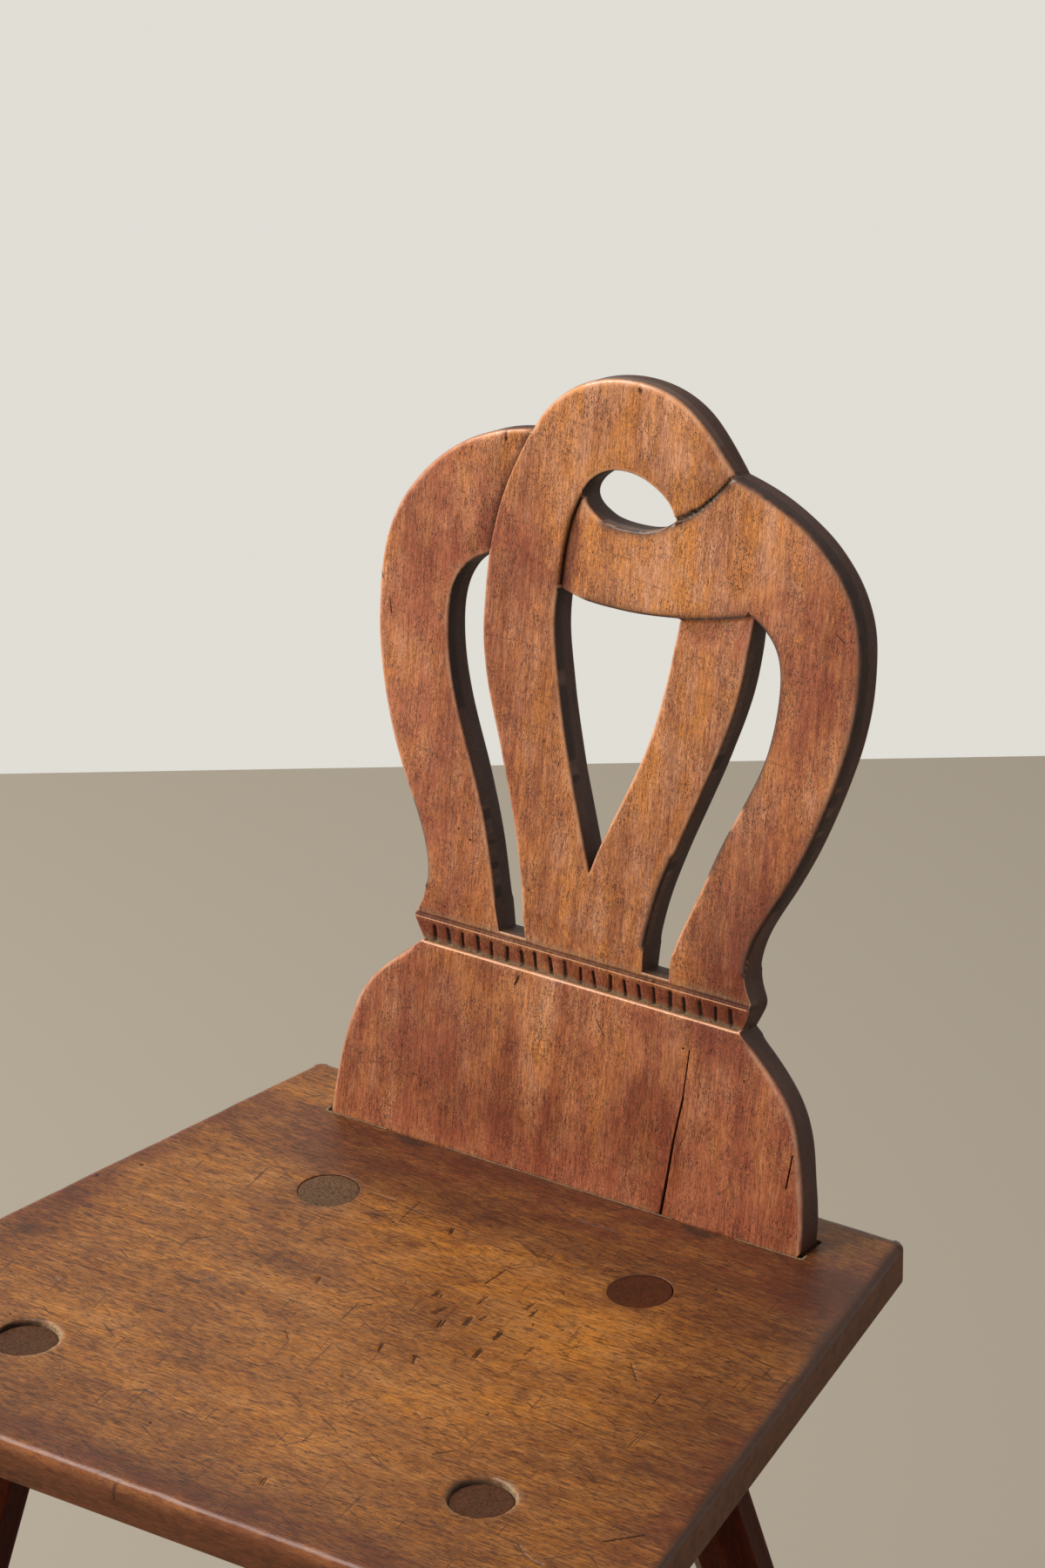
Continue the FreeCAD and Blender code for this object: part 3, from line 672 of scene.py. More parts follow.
def seat():
    matrix = Matrix.Translation((0, 0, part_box("seat_board")[1].z))
    plank = Plank("seat_board", matrix)
    lower_half(plank)
    plank.slants = hole_slants(plank)
    outline = plank.loops[0]
    front = outline[:, 1].min()
    rim = near_tree(outline)
    holes = [tuple(loop.mean(axis=0) - slant * plank.middle)
             for loop, slant in zip(plank.loops, plank.slants)]
    ragged_holes = [hole for hole in holes[1:] if hole[1] < FRONT_HOLES]
    dice = random.Random(11)
    small = scattered(dice, 24, outline.min(axis=0), outline.max(axis=0), (0.5, 0.9), (0.1, 0.3))
    small += scattered(dice, 12, (-10, -60), (90, 60), (0.5, 1.0), (0.15, 0.4))
    dots = [(x, y, x, y, 2 * radius, 1.2) for x, y, radius in SEAT_DOTS]
    cuts = Cuts(scuffs(SEAT_GOUGES, dice) + dots + small)
    steps = Steps(step_paths(plank, 3), 0.5)

    def radius(index, loop):
        if index == 0:
            edge = np.where(loop[:, 1] < front + FRONT_ZONE, SEAT_FRONT_ARRIS, SEAT_ARRIS)
            return edge * [1 + 0.20 * wave(*point, 0.06, 1) + 0.10 * wave(*point, 0.21, 3) for point in loop]
        if abs(area(loop)) < MORTISE_AREA or abs(holes[index][0]) > GROOVE_PLACE:
            return np.full(len(loop), MORTISE_RIM)
        if holes[index] in ragged_holes:
            waves = [1 + 0.8 * wave(*point, 0.2, 2) + 0.5 * wave(*point, 0.52, 6) for point in loop]
            return FRONT_RIM * np.array(waves)
        return np.full(len(loop), REAR_RIM)

    def relief(a, b):
        if plank.depth(a, b) > 1.5:
            return 2.0
        deep = uneven(a, b, 95, 0.22, 3) + uneven(a, b, 28, 0.07, 4) + 0.29
        deep += 0.5 * bell(a / 130) * bell((b + 40) / 110)
        for hole in ragged_holes:
            away = math.dist((a, b), hole) - TENON_RADIUS
            deep += 0.7 * max(0, 0.35 + 0.9 * wave(a, b, 0.22, 5)) * math.exp(-max(0, away) / 1.6)
        return deep + steps.softening(a, b) + cuts.depth(a, b)

    def look(a, b):
        light, red = blobs(SEAT_PATCHES, a, b)
        to_board = steps.away(a, b)
        # Dirt in the cuts, and painted shade in the corner where the back board stands on the seat
        grime_and_shade = 0.8 * max(min(1.0, cuts.depth(a, b) / 0.2), math.exp(-abs(to_board) / 2.2))
        to_rim = rim.find((a, b, 0))[2]
        at_side = a > 0 and b > front + SIDE_ZONE
        wavy = 1 + 0.6 * wave(a, b, 0.04, 2)
        # Darker along the rim, and along its right-hand part much darker: painted shade where the edge turns
        # from the lamps
        light -= bell(to_rim / (3.4 * wavy)) * (1.2 if at_side else 0.25)
        red += bell(to_rim / 12) * (0.3 if at_side else 0.6)
        dust = 0.0
        for hole in holes[1:]:
            beyond = math.dist((a, b), hole) - TENON_RADIUS
            past = max(0, beyond)
            if hole in ragged_holes and beyond < 6:
                # Painted shade on the part of a sunk hole's rim turned from the lamps, and dust on the rest
                shade = max(0, math.cos(math.atan2(b - hole[1], a - hole[0]) - math.radians(150)))
                dust = min(1.0, max(0, 0.8 + 1.3 * wave(a, b, 0.26, 9))) * bell(past / 1.7) * (1 - shade)
                grime_and_shade = max(grime_and_shade, 0.95 * shade * bell(past / (1.9 * wavy)))
            elif beyond < 3:
                grime_and_shade = max(grime_and_shade, 0.7 * math.exp(-past / 0.6))
        if abs(to_board) < 0.8 and b < BOARD_FRONT:
            dust = 1.0
        return grime_and_shade, dust, red, light

    plank.half(1, radius, relief, look, SEAT_STEP, cuts.lines() + steps.lines())
    grain = Matrix(((0, 1, 0, 0), (0, 0, 1, 0), (1, 0, 0, 0), (0, 0, 0, 1)))
    plank.build.piece("seat_plank", "seat_board", "seat", grain, matrix)


# The back

BACK_STEP = 2.3
BACK_ARRIS = 2.6
OPENING_ARRIS = 1.9
REAR_ARRIS = 2.4
BAND_ARRIS = 0.7
FOOT_ARRIS = 0.15
BAND_LEVEL = 105
BAND_ZONE = (90, 130)
BAND_HALF_WIDTH = 90
NOTCH_STEP = 0.15
PROFILE_STEP = 0.05
STRAP_SOFTENING = 1.3
STEP_GROOVE = 0.7
CROWN_GROOVE = ((29.5, 334.2), (34.5, 336.6), (41.2, 340.5), (46.6, 345.8), (51.3, 351.2), (56.3, 358.0),
                (58.6, 361.6))
# The split, the short split and the groove in the crown: their places, the widths between them and the depth
LONG_CUTS = (
    (((57.5, -2), (59.5, 18), (61, 37), (64, 60), (65, 84)), (1.3, 1.1, 0.9, 0.6), 3.0),
    (((125.7, 47.5), (125.2, 42), (124.1, 31)), (0.7, 0.7), 1.5),
    (CROWN_GROOVE, (2.8, 3.6, 3.8, 3.4, 2.8, 2.0), 1.1),
)
WORM_HOLES = ((-74, 160, 0.55), (-67, 156, 0.6), (-79, 119, 0.45), (96, 77, 0.5), (61.5, 84, 0.6))
BACK_CUTS = (
    (-67, 357.5, -66.4, 352, 1.2, 0.6), (4, 392, 6, 389, 2.2, 0.6), (-32.6, 96, -35, 90, 1.2, 0.6),
    (-69, 258, -50, 258.6, 0.6, 0.1), (-48, 258.5, -33, 257.5, 0.5, 0.08), (24, 262, 34, 261, 0.5, 0.1),
    (41, 112, 43, 112, 1.2, 0.8), (120, 300, 126, 296, 0.8, 0.3), (-124, 264, -122, 256, 0.8, 0.4),
    (-131, 276, -128, 272, 1.6, 0.4), (12, 86, 18, 78, 0.7, 0.3),
)
# Tan in the middle, redder outside, lighter towards the top, darker towards the bottom and in places. The
# small dark patches beside the strap crossings are painted shadow of the straps that pass over them.
BACK_PATCHES = (
    (-105, 240, 34, 120, -0.1, 0.6), (-95, 150, 30, 50, -0.1, 0.7), (116, 240, 30, 120, -0.1, 0.6),
    (80, 140, 26, 46, -0.25, 0.75), (-75, 320, 40, 40, -0.15, 0.6), (0, 355, 50, 30, 0.15, 0.0),
    (20, 305, 50, 20, 0.35, -0.1), (35, 230, 26, 60, 0.3, -0.2), (0, 140, 30, 34, 0.25, -0.1),
    (-45, 200, 18, 60, 0.0, 0.35), (-50, 290, 24, 24, -0.35, 0.3), (0, 6, 150, 10, -0.1, 1.0),
    (-90, 50, 50, 34, 0.0, 0.55), (100, 40, 44, 50, 0.1, 0.85), (10, 70, 24, 40, 0.25, 0.2),
    (60, 95, 60, 10, -0.1, 0.6), (120, 300, 20, 40, -0.3, 0.4), (-110, 290, 20, 40, -0.15, 0.4),
    (95, 270, 20, 26, 0.1, 0.7), (-40, 20, 40, 16, -0.2, 0.6), (0, 370, 150, 100, 0.5, -0.1),
    (-115, 230, 30, 110, 0.45, 0.1), (0, 40, 200, 60, -0.2, 0.35), (104, 150, 30, 50, -0.2, 0.3),
    (110, 250, 30, 60, 0.35, 0.0), (0, 5, 150, 12, 0.25, 0.0), (-28, 292, 5, 16, -0.8, 0.0),
    (-24, 316, 5, 16, -0.8, 0.0), (55, 284, 28, 7, -0.4, 0.45), (-20, 60, 9, 40, 0.35, -0.4),
    (-62, 300, 30, 14, -0.1, 0.3), (78, 300, 26, 26, -0.1, 0.5), (-25, 90, 30, 16, 0.1, -0.2),
)


def board_frame():
    """The back's own frame: a to the right, b up the plank and heights out of its carved face."""
    mesh = frame["nodes"]["back_board"].data
    behind = max((side for side in mesh.polygons if side.normal.y > 0.9), key=lambda side: side.area)
    back = behind.normal.copy()
    back.x = 0
    back.normalize()
    nearest = min(corner.co.dot(back) for corner in mesh.vertices)
    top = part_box("seat_board")[1].z
    place = Vector((0, (nearest - top * back.z) / back.y, top))
    turn = Matrix((Vector((1, 0, 0)), Vector((0, -back.z, back.y)), -back)).transposed()
    return Matrix.Translation(place) @ turn.to_4x4()


class Band:
    """The carved band across the back: a slope between two ledges, the same all along but for its cuts."""

    def __init__(self, plank):
        across = np.arange(-BAND_HALF_WIDTH, BAND_HALF_WIDTH, NOTCH_STEP)
        depths = [(a, plank.depth(a, BAND_LEVEL)) for a in across]
        usual = sorted(depth for _, depth in depths)[len(depths) // 3]
        self.notches, run = [], []
        for a, depth in depths:
            if depth > usual + 0.3:
                run.append(a)
            elif run:
                self.notches.append(sum(run) / len(run))
                run = []
        clear = (self.notches[10] + self.notches[11]) / 2
        self.heights = np.arange(*BAND_ZONE, PROFILE_STEP)
        self.depths = np.array([plank.depth(clear, b) for b in self.heights])
        jumps = np.flatnonzero(np.diff(self.depths) > 0.5)
        self.foot, self.top_edge = self.heights[jumps[0]], self.heights[jumps[-1]]
        slope = self.depths[(self.heights > self.foot) & (self.heights < self.top_edge)]
        self.ridge = self.top_edge - PROFILE_STEP * int(np.sum(slope < 0.02))
        self.top = self.heights[np.flatnonzero(self.depths > 0.02)[-1]] + 0.1

    def depth(self, b):
        """The depth of the carving, with the lower plank's upper edge and the band's ridge worn round."""
        deep = float(np.interp(b, self.heights, self.depths)) if b > self.heights[0] else 0.0
        worn = (rounding(self.foot - b, 1.5), rounding(self.top_edge - b, 0.6), rounding(b - self.ridge, 0.5))
        return deep + max(worn)

    def look(self, b, grime_and_shade, dust, red, light):
        """Dust and dirt in the groove at the band's foot, a dark line above its ridge, a darker and redder
        face, and painted highlights along the lower plank's upper edge and the ridge.
        """
        if self.foot < b < self.ridge - 0.6:
            light, red = light - 0.25, red + 0.7
        if self.foot < b < self.foot + 1.6:
            grime_and_shade, dust = max(grime_and_shade, 0.4), 0.6
        elif self.ridge + 0.2 < b < self.top_edge + 0.2:
            grime_and_shade = max(grime_and_shade, 0.7)
        elif self.top_edge < b < self.top_edge + 3:
            dust = 0.55 * (1 - (b - self.top_edge) / 3)
        # Painted highlights along the lower plank's upper edge and along the ridge
        elif self.foot - 0.6 < b < self.foot or self.ridge - 0.35 < b < self.ridge + 0.1:
            light, red = 1.7, 0.0
        return grime_and_shade, dust, red, light

    def lines(self, reach):
        """Level lines along the band's edges."""
        across = np.arange(-reach, reach, 1.3)
        edges = ((self.foot, (-1.6, -0.9, -0.45, -0.12, 0.07, 0.9)),
                 (self.ridge, (-0.6, -0.3, 0.0, 0.35, 0.6)), (self.top_edge, (-0.5, -0.12, 0.07, 1.0)))
        levels = [edge + offset for edge, offsets in edges for offset in offsets]
        return [(np.column_stack([across, np.full(len(across), level)]), True) for level in levels]


def back():
    matrix = board_frame()
    plank = Plank("back_board", matrix)
    lean = math.atan2(matrix[1][1], matrix[2][1])
    band = Band(plank)
    paths = step_paths(plank, 8, band.top)
    steps = Steps(paths, STRAP_SOFTENING)
    ends = [end for path in paths for end in (path[0], path[-1])]
    loops = [smoothed(resampled(loop, 1.5, ends)) for loop in section(plank.solid, plank.middle)]
    foot_level = min(point[1] for loop in loops for point in loop if abs(point[0]) > 100)
    on_foot = [np.abs(loop[:, 1] - foot_level) < 0.3 for loop in loops]
    plank.loops = loops
    plank.slants = [np.outer(foot, (0, -math.tan(lean))) for foot in on_foot]
    # The back's walls: their near-black side tone is rougher side wood and painted shade
    plank.base = [plank.build.row([], loop, plank.middle, 1.0, look=(0.2, 0, 0.3, -0.3)) for loop in loops]

    rows = [(x, y, x, y, 2 * radius, 2.2) for x, y, radius in WORM_HOLES] + list(BACK_CUTS)
    for path, widths, depth in LONG_CUTS:
        rows += [(*p, *q, width, depth) for p, q, width in zip(path, path[1:], widths)]
    dice = random.Random(5)
    for centre in band.notches:
        lean_over = dice.uniform(-0.35, 0.35)
        at = centre + dice.uniform(-0.5, 0.5)
        rows.append((at - lean_over, band.foot + dice.uniform(0.7, 1.5), at + lean_over,
                     band.ridge - dice.uniform(2.2, 3.4), dice.uniform(1.5, 2.1), dice.uniform(1.2, 1.6)))
    cuts = Cuts(rows + scattered(dice, 40, (-130, 2), (130, 390), (0.3, 0.6), (0.06, 0.15)))

    def radius(index, loop, size=BACK_ARRIS):
        rim = size if index == 0 else OPENING_ARRIS * size / BACK_ARRIS
        result = rim * np.array([1 + 0.3 * wave(*point, 0.045, 4) for point in loop])
        result[(loop[:, 1] > band.foot - 3) & (loop[:, 1] < band.top)] = BAND_ARRIS
        result[on_foot[index] | (loop[:, 1] < 0)] = FOOT_ARRIS
        return result

    def relief(a, b):
        if b < band.top:
            deep = band.depth(b)
        else:
            deep = plank.depth(a, b)
            deep += steps.softening(a, b) if deep < 0.05 else STEP_GROOVE * bell(steps.away(a, b) / 1.5)
        return deep + uneven(a, b, 70, 0.2, 6) + uneven(a, b, 22, 0.06, 7) + 0.26 + cuts.depth(a, b)

    def look(a, b):
        light, red = blobs(BACK_PATCHES, a, b)
        cut = cuts.depth(a, b)
        grime_and_shade = min(1.0, cut / 0.3)
        away = steps.away(a, b)
        # Painted shade at the foot of each step where one strap passes over another, and a painted highlight
        # along its upper edge
        if away < 0:
            grime_and_shade = max(grime_and_shade, min(1.0, 1.2 * bell(away / 1.9)))
        elif away < 1.3:
            light += 1.4 * (1 - away / 1.3)
        grime_and_shade, dust, red, light = band.look(b, grime_and_shade, 0.0, red, light)
        if a > CROWN_GROOVE[0][0] and b > CROWN_GROOVE[0][1] and cut > 0.4:
            dust = max(0.0, 0.35 + 1.6 * wave(a, b, 1 / 0.9, 0))
        return grime_and_shade, dust, red, light

    lines = steps.lines() + cuts.lines() + band.lines(loops[0][:, 0].max())
    plank.half(1, radius, relief, look, BACK_STEP, lines)

    def rear_radius(index, loop):
        return radius(index, loop, REAR_ARRIS)

    def rear_relief(a, b):
        scallop = 0.12 * (1 + math.sin(a / 11 * 2 + 2.5 * wave(a, b, 0.009, 1)))
        return scallop + uneven(a, b, 60, 0.15, 8) + 0.15

    def rear_look(a, b):
        return 0.25, 0.0, 0.35, -0.35

    plank.half(-1, rear_radius, rear_relief, rear_look, 2 * BACK_STEP, [])
    grain = Matrix(((1, 0, 0, 0.31), (0, 0, 1, 0.17), (0, 1, 0, 0.23), (0, 0, 0, 1)))
    plank.build.piece("back_plank", "back_board", "back", grain, matrix)


# The legs

LEG_ARRIS = 1.3
FOOT_WEAR = 1.6
LEG_ROWS = 46
TENON_SINK = 0.5
TENON_CORNERS = 64
TENON_RINGS = 10
TENON_ROUGHNESS = 0.15
# Each leg, and how dusty and how worn the end of its tenon is
LEGS = (("leg_front_left", 0.15, 1.0), ("leg_front_right", 0.12, 1.0), ("leg_rear_left", 0.3, 0.4),
        ("leg_rear_right", 0.05, 0.4))


def evenly(loop, count):
    """An outline's points at even angles about its middle."""
    ways = loop - loop.mean(axis=0)
    angles = np.unwrap(np.arctan2(ways[:, 1], ways[:, 0]))
    if angles[-1] < angles[0]:
        loop, angles = loop[::-1], angles[::-1]
    start, circle = angles[0], 2 * math.pi
    wanted = [start + (circle * k / count - start) % circle for k in range(count)]
    return on_ring(loop, np.append(angles, start + circle), wanted)


def corners_of(loop):
    """The eight corners of a leg's section, in order from the same one."""
    sharp = loop[np.abs(turns(loop)) > 0.4]
    ways = sharp - sharp.mean(axis=0)
    return sharp[np.argsort(np.arctan2(ways[:, 1], ways[:, 0]))]


def between(shapes, levels, height):
    """The shape at a height on the straight run through two shapes at their levels."""
    return shapes[0] + (shapes[1] - shapes[0]) * (height - levels[0]) / (levels[1] - levels[0])


def leg_row(corners, seed, height):
    """One level row round a leg, its arrises worn and its flats a little uneven."""
    points, worn = [], []
    middle = corners.mean(axis=0)

    def moved(place, goal, distance):
        return place + (goal - place) / np.linalg.norm(goal - place) * distance

    for k, corner in enumerate(corners):
        following = corners[(k + 1) % len(corners)]
        wear = LEG_ARRIS * (1 + 0.5 * wave(seed + k * 3.1, height * 0.03, 1, 1))
        points += [moved(corner, corners[k - 1], 0.42 * wear), moved(corner, middle, 0.09 * wear),
                   moved(corner, following, 0.42 * wear)]
        for share in (0.2, 0.4, 0.6, 0.8):
            hollow = 0.18 * (1 + wave(seed + k * 2.3 + share, height * 0.045, 1, 7))
            points.append(moved(corner + (following - corner) * share, middle, hollow))
        worn += [0.7, 1.0, 0.7, 0.0, 0.0, 0.0, 0.0]
    return np.array(points), np.array(worn)


def leg(node, number, dust, wear):
    solid = cad_copy(node)
    heights = [corner.co.z / MM for corner in solid.verts]
    low, high = min(heights), max(heights)
    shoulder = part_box("batten_left")[0].z / MM
    levels, tenon_levels = (low + 20, shoulder - 20), (shoulder + 4, high - 6)
    octagons = [corners_of(section(solid, level)[0]) for level in levels]
    rings = [evenly(section(solid, level)[0], TENON_CORNERS) for level in tenon_levels]
    solid.free()

    build = Build()
    row = None
    for height in [low, low + 0.5, low + FOOT_WEAR, *np.linspace(low + 8, shoulder - 3, LEG_ROWS), shoulder]:
        corners = between(octagons, levels, height)
        middle = corners.mean(axis=0)
        inset = 0.8 * rounding(height - low, FOOT_WEAR)
        corners = middle + (corners - middle) * (1 - inset / np.linalg.norm(corners[0] - middle))
        points, worn = leg_row(corners, 10 * number, height)
        row = build.row(row, points, height, 0.0, worn, (0.5 * math.exp((low - height) / 25), 0, 0.6, -0.1))
    build.faces.append(tuple(row))

    # The round tenon, with a worn and slightly uneven end
    high -= TENON_SINK
    row = None
    for share in (-0.03, 0.3, 0.6, 0.9):
        height = shoulder + (high - shoulder) * share
        row = build.row(row, between(rings, tenon_levels, height), height, 1.0, look=(0.3, 0, 0.3, -0.6))
    end = between(rings, tenon_levels, high)
    middle = end.mean(axis=0)
    look = (0.15, dust, 0.0, 0.5)
    end_rows = [(1 - wear * (1 - math.cos(turn)) / TENON_RADIUS, high - wear * (1 - math.sin(turn)))
                for turn in ARRIS_TURNS]
    flat = 1 - wear / TENON_RADIUS
    end_rows += [(flat * (1 - k / (TENON_RINGS + 1)), high) for k in range(1, TENON_RINGS + 1)]
    for size, height in end_rows:
        place = middle + (end - middle) * size
        rough = np.array([wave(*point, 0.3, number) + 1 for point in place])
        row = build.row(row, place, height - TENON_ROUGHNESS * rough * (height > high - 0.5), look=look)
    centre = build.add([(*middle, high - TENON_ROUGHNESS)], look=look)[0]
    build.faces += [(row[i], row[(i + 1) % TENON_CORNERS], centre) for i in range(TENON_CORNERS)]

    first, last = [Vector((*octagon.mean(axis=0), level)) * MM for octagon, level in zip(octagons, levels)]
    turn = (last - first).normalized().rotation_difference(Vector((0, 0, 1))).to_matrix().to_4x4()
    shift = Matrix.Translation((0.013 * number, 0.4 + 0.02 * number, 0.7 * number))
    build.piece(node.replace("leg", "octagonal_leg"), node, "legs", shift @ turn @ Matrix.Translation(-first))


# The battens and the keys, under the seat

UNDERSIDE_MARKS = (0.4, 0.0, 0.2, 0.1, 0.3, -0.3)
ALONG_Y = Matrix(((1, 0, 0, 0.9), (0, 0, 1, 0.8), (0, 1, 0, 0.1), (0, 0, 0, 1)))


def worn_copy(node, name, arris, spacing, seed):
    """A node's own solid with worn arrises and a hand-planed surface."""
    solid = cad_copy(node)
    bmesh.ops.dissolve_limit(solid, angle_limit=math.radians(1), verts=solid.verts, edges=solid.edges)
    sharp = [edge for edge in solid.edges if len(edge.link_faces) == 2 and edge.calc_face_angle(0) > 0.5]
    bevelled(solid, sharp, arris)
    bmesh.ops.triangulate(solid, faces=solid.faces)
    for _ in range(4):
        long_edges = [edge for edge in solid.edges if edge.calc_length() > spacing * MM]
        if long_edges:
            bmesh.ops.subdivide_edges(solid, edges=long_edges, cuts=1)
            bmesh.ops.triangulate(solid, faces=solid.faces)
    solid.normal_update()
    for corner in solid.verts:
        corner.co -= corner.normal * 0.1 * MM * (1 + wave(corner.co.x * 50, corner.co.y * 14, 1, seed))
    mesh = bpy.data.meshes.new(name)
    solid.to_mesh(mesh)
    solid.free()
    dressed(name, mesh, np.tile(UNDERSIDE_MARKS, (len(mesh.vertices), 1)), node, "underside", ALONG_Y)


# Finishes

DUST = (0.27, 0.20, 0.115)
SOOT_AND_SHADE = (0.008, 0.005, 0.004)
PITS = (0.012, 0.006, 0.004)
# For each slot the material's name, its tan, gold, brown, red, dark, side and worn tones, and how much there
# is of gloss, sheen, fibre, pore, patina, scratch, figure and stroke. The worn tone also colours the painted
# highlights along edges.
WOODS = {
    "seat": ("seat_wood", (0.42, 0.172, 0.044), (0.43, 0.155, 0.020), (0.125, 0.036, 0.008),
             (0.16, 0.028, 0.008), (0.030, 0.011, 0.005), (0.135, 0.043, 0.017), (0.34, 0.12, 0.040),
             0.32, 0.22, 0.7, 0.5, 0.65, 0.75, 0.3, 1.0),
    # The back's tan is paler and bluer than the wood alone, partly a painted sheen; its near-black side tone
    # is painted shade on the walls as well as rougher side wood
    "back": ("back_wood", (0.60, 0.275, 0.140), (0.60, 0.225, 0.055), (0.225, 0.060, 0.021),
             (0.33, 0.070, 0.027), (0.045, 0.014, 0.010), (0.018, 0.008, 0.005), (0.72, 0.42, 0.27),
             0.29, 0.32, 0.5, 1.0, 0.6, 0.25, 0.55, 0.55),
    # The legs' tones are their dark red-brown wood made darker still, partly painted shade under the seat
    "legs": ("leg_wood", (0.075, 0.013, 0.004), (0.08, 0.016, 0.003), (0.026, 0.005, 0.002),
             (0.06, 0.007, 0.002), (0.010, 0.003, 0.002), (0.018, 0.008, 0.005), (0.12, 0.024, 0.008),
             0.36, 0.05, 0.5, 0.5, 0.7, 0.3, 0.4, 0.9),
    "underside": ("underside_wood", (0.16, 0.075, 0.034), (0.17, 0.072, 0.026), (0.085, 0.036, 0.016),
                  (0.09, 0.030, 0.014), (0.03, 0.013, 0.008), (0.07, 0.032, 0.017), (0.18, 0.09, 0.045),
                  0.60, 0.25, 0.5, 0.5, 0.4, 0.0, 0.5, 0.4),
}
# Fine scratches: their turn on the surface, how close they are and how few
SCRATCHES = ((0.5, 640, 0.68), (-0.9, 720, 0.685), (1.45, 600, 0.68), (2.4, 760, 0.69), (0.1, 560, 0.67))


class Shader:
    """Short calls for the nodes of a material or the world."""

    def __init__(self, holder, last):
        holder.use_nodes = True
        self.holder, self.tree = holder, holder.node_tree
        self.last = self.tree.nodes[last]

    def fill(self, node, inputs):
        for name, value in inputs.items():
            socket = node.inputs[name]
            if isinstance(value, bpy.types.NodeSocket):
                self.tree.links.new(value, socket)
            else:
                socket.default_value = (*value, 1.0) if socket.type == "RGBA" else value

    def node(self, kind, inputs, output=0, **settings):
        made = self.tree.nodes.new("ShaderNode" + kind)
        for name, value in settings.items():
            setattr(made, name, value)
        self.fill(made, inputs)
        return made.outputs[output]

    def mark(self, name, output="Fac"):
        return self.node("Attribute", {}, output, attribute_name=name)

    def maths(self, operation, first, second, third=0.0, clamp=False):
        return self.node("Math", {0: first, 1: second, 2: third}, operation=operation, use_clamp=clamp)

    def times(self, first, second, clamp=False):
        return self.maths("MULTIPLY", first, second, clamp=clamp)

    def largest(self, first, second):
        return self.maths("MAXIMUM", first, second)

    def plus(self, value, share, more, clamp=False):
        """The value with a share of something more."""
        return self.maths("MULTIPLY_ADD", more, share, value, clamp)

    def swung(self, value, share, pattern):
        """The value, moved up and down by a pattern."""
        return self.plus(value, share, self.maths("SUBTRACT", pattern, 0.5))

    def noise(self, vector, stretch, scale, detail, roughness, distortion=0.0):
        vector = self.node("Mapping", {"Vector": vector, "Scale": stretch})
        return self.node("TexNoise", {"Vector": vector, "Scale": scale, "Detail": detail,
                                      "Roughness": roughness, "Distortion": distortion})

    def spread(self, value, low, high, to_low=0.0, to_high=1.0):
        return self.node("MapRange", {"Value": value, "From Min": low, "From Max": high, "To Min": to_low,
                                      "To Max": to_high})

    def mix(self, share, first, second):
        return self.node("Mix", {0: share, 6: first, 7: second}, 2, data_type="RGBA")


def principled(name):
    return Shader(bpy.data.materials.new(name), "Principled BSDF")


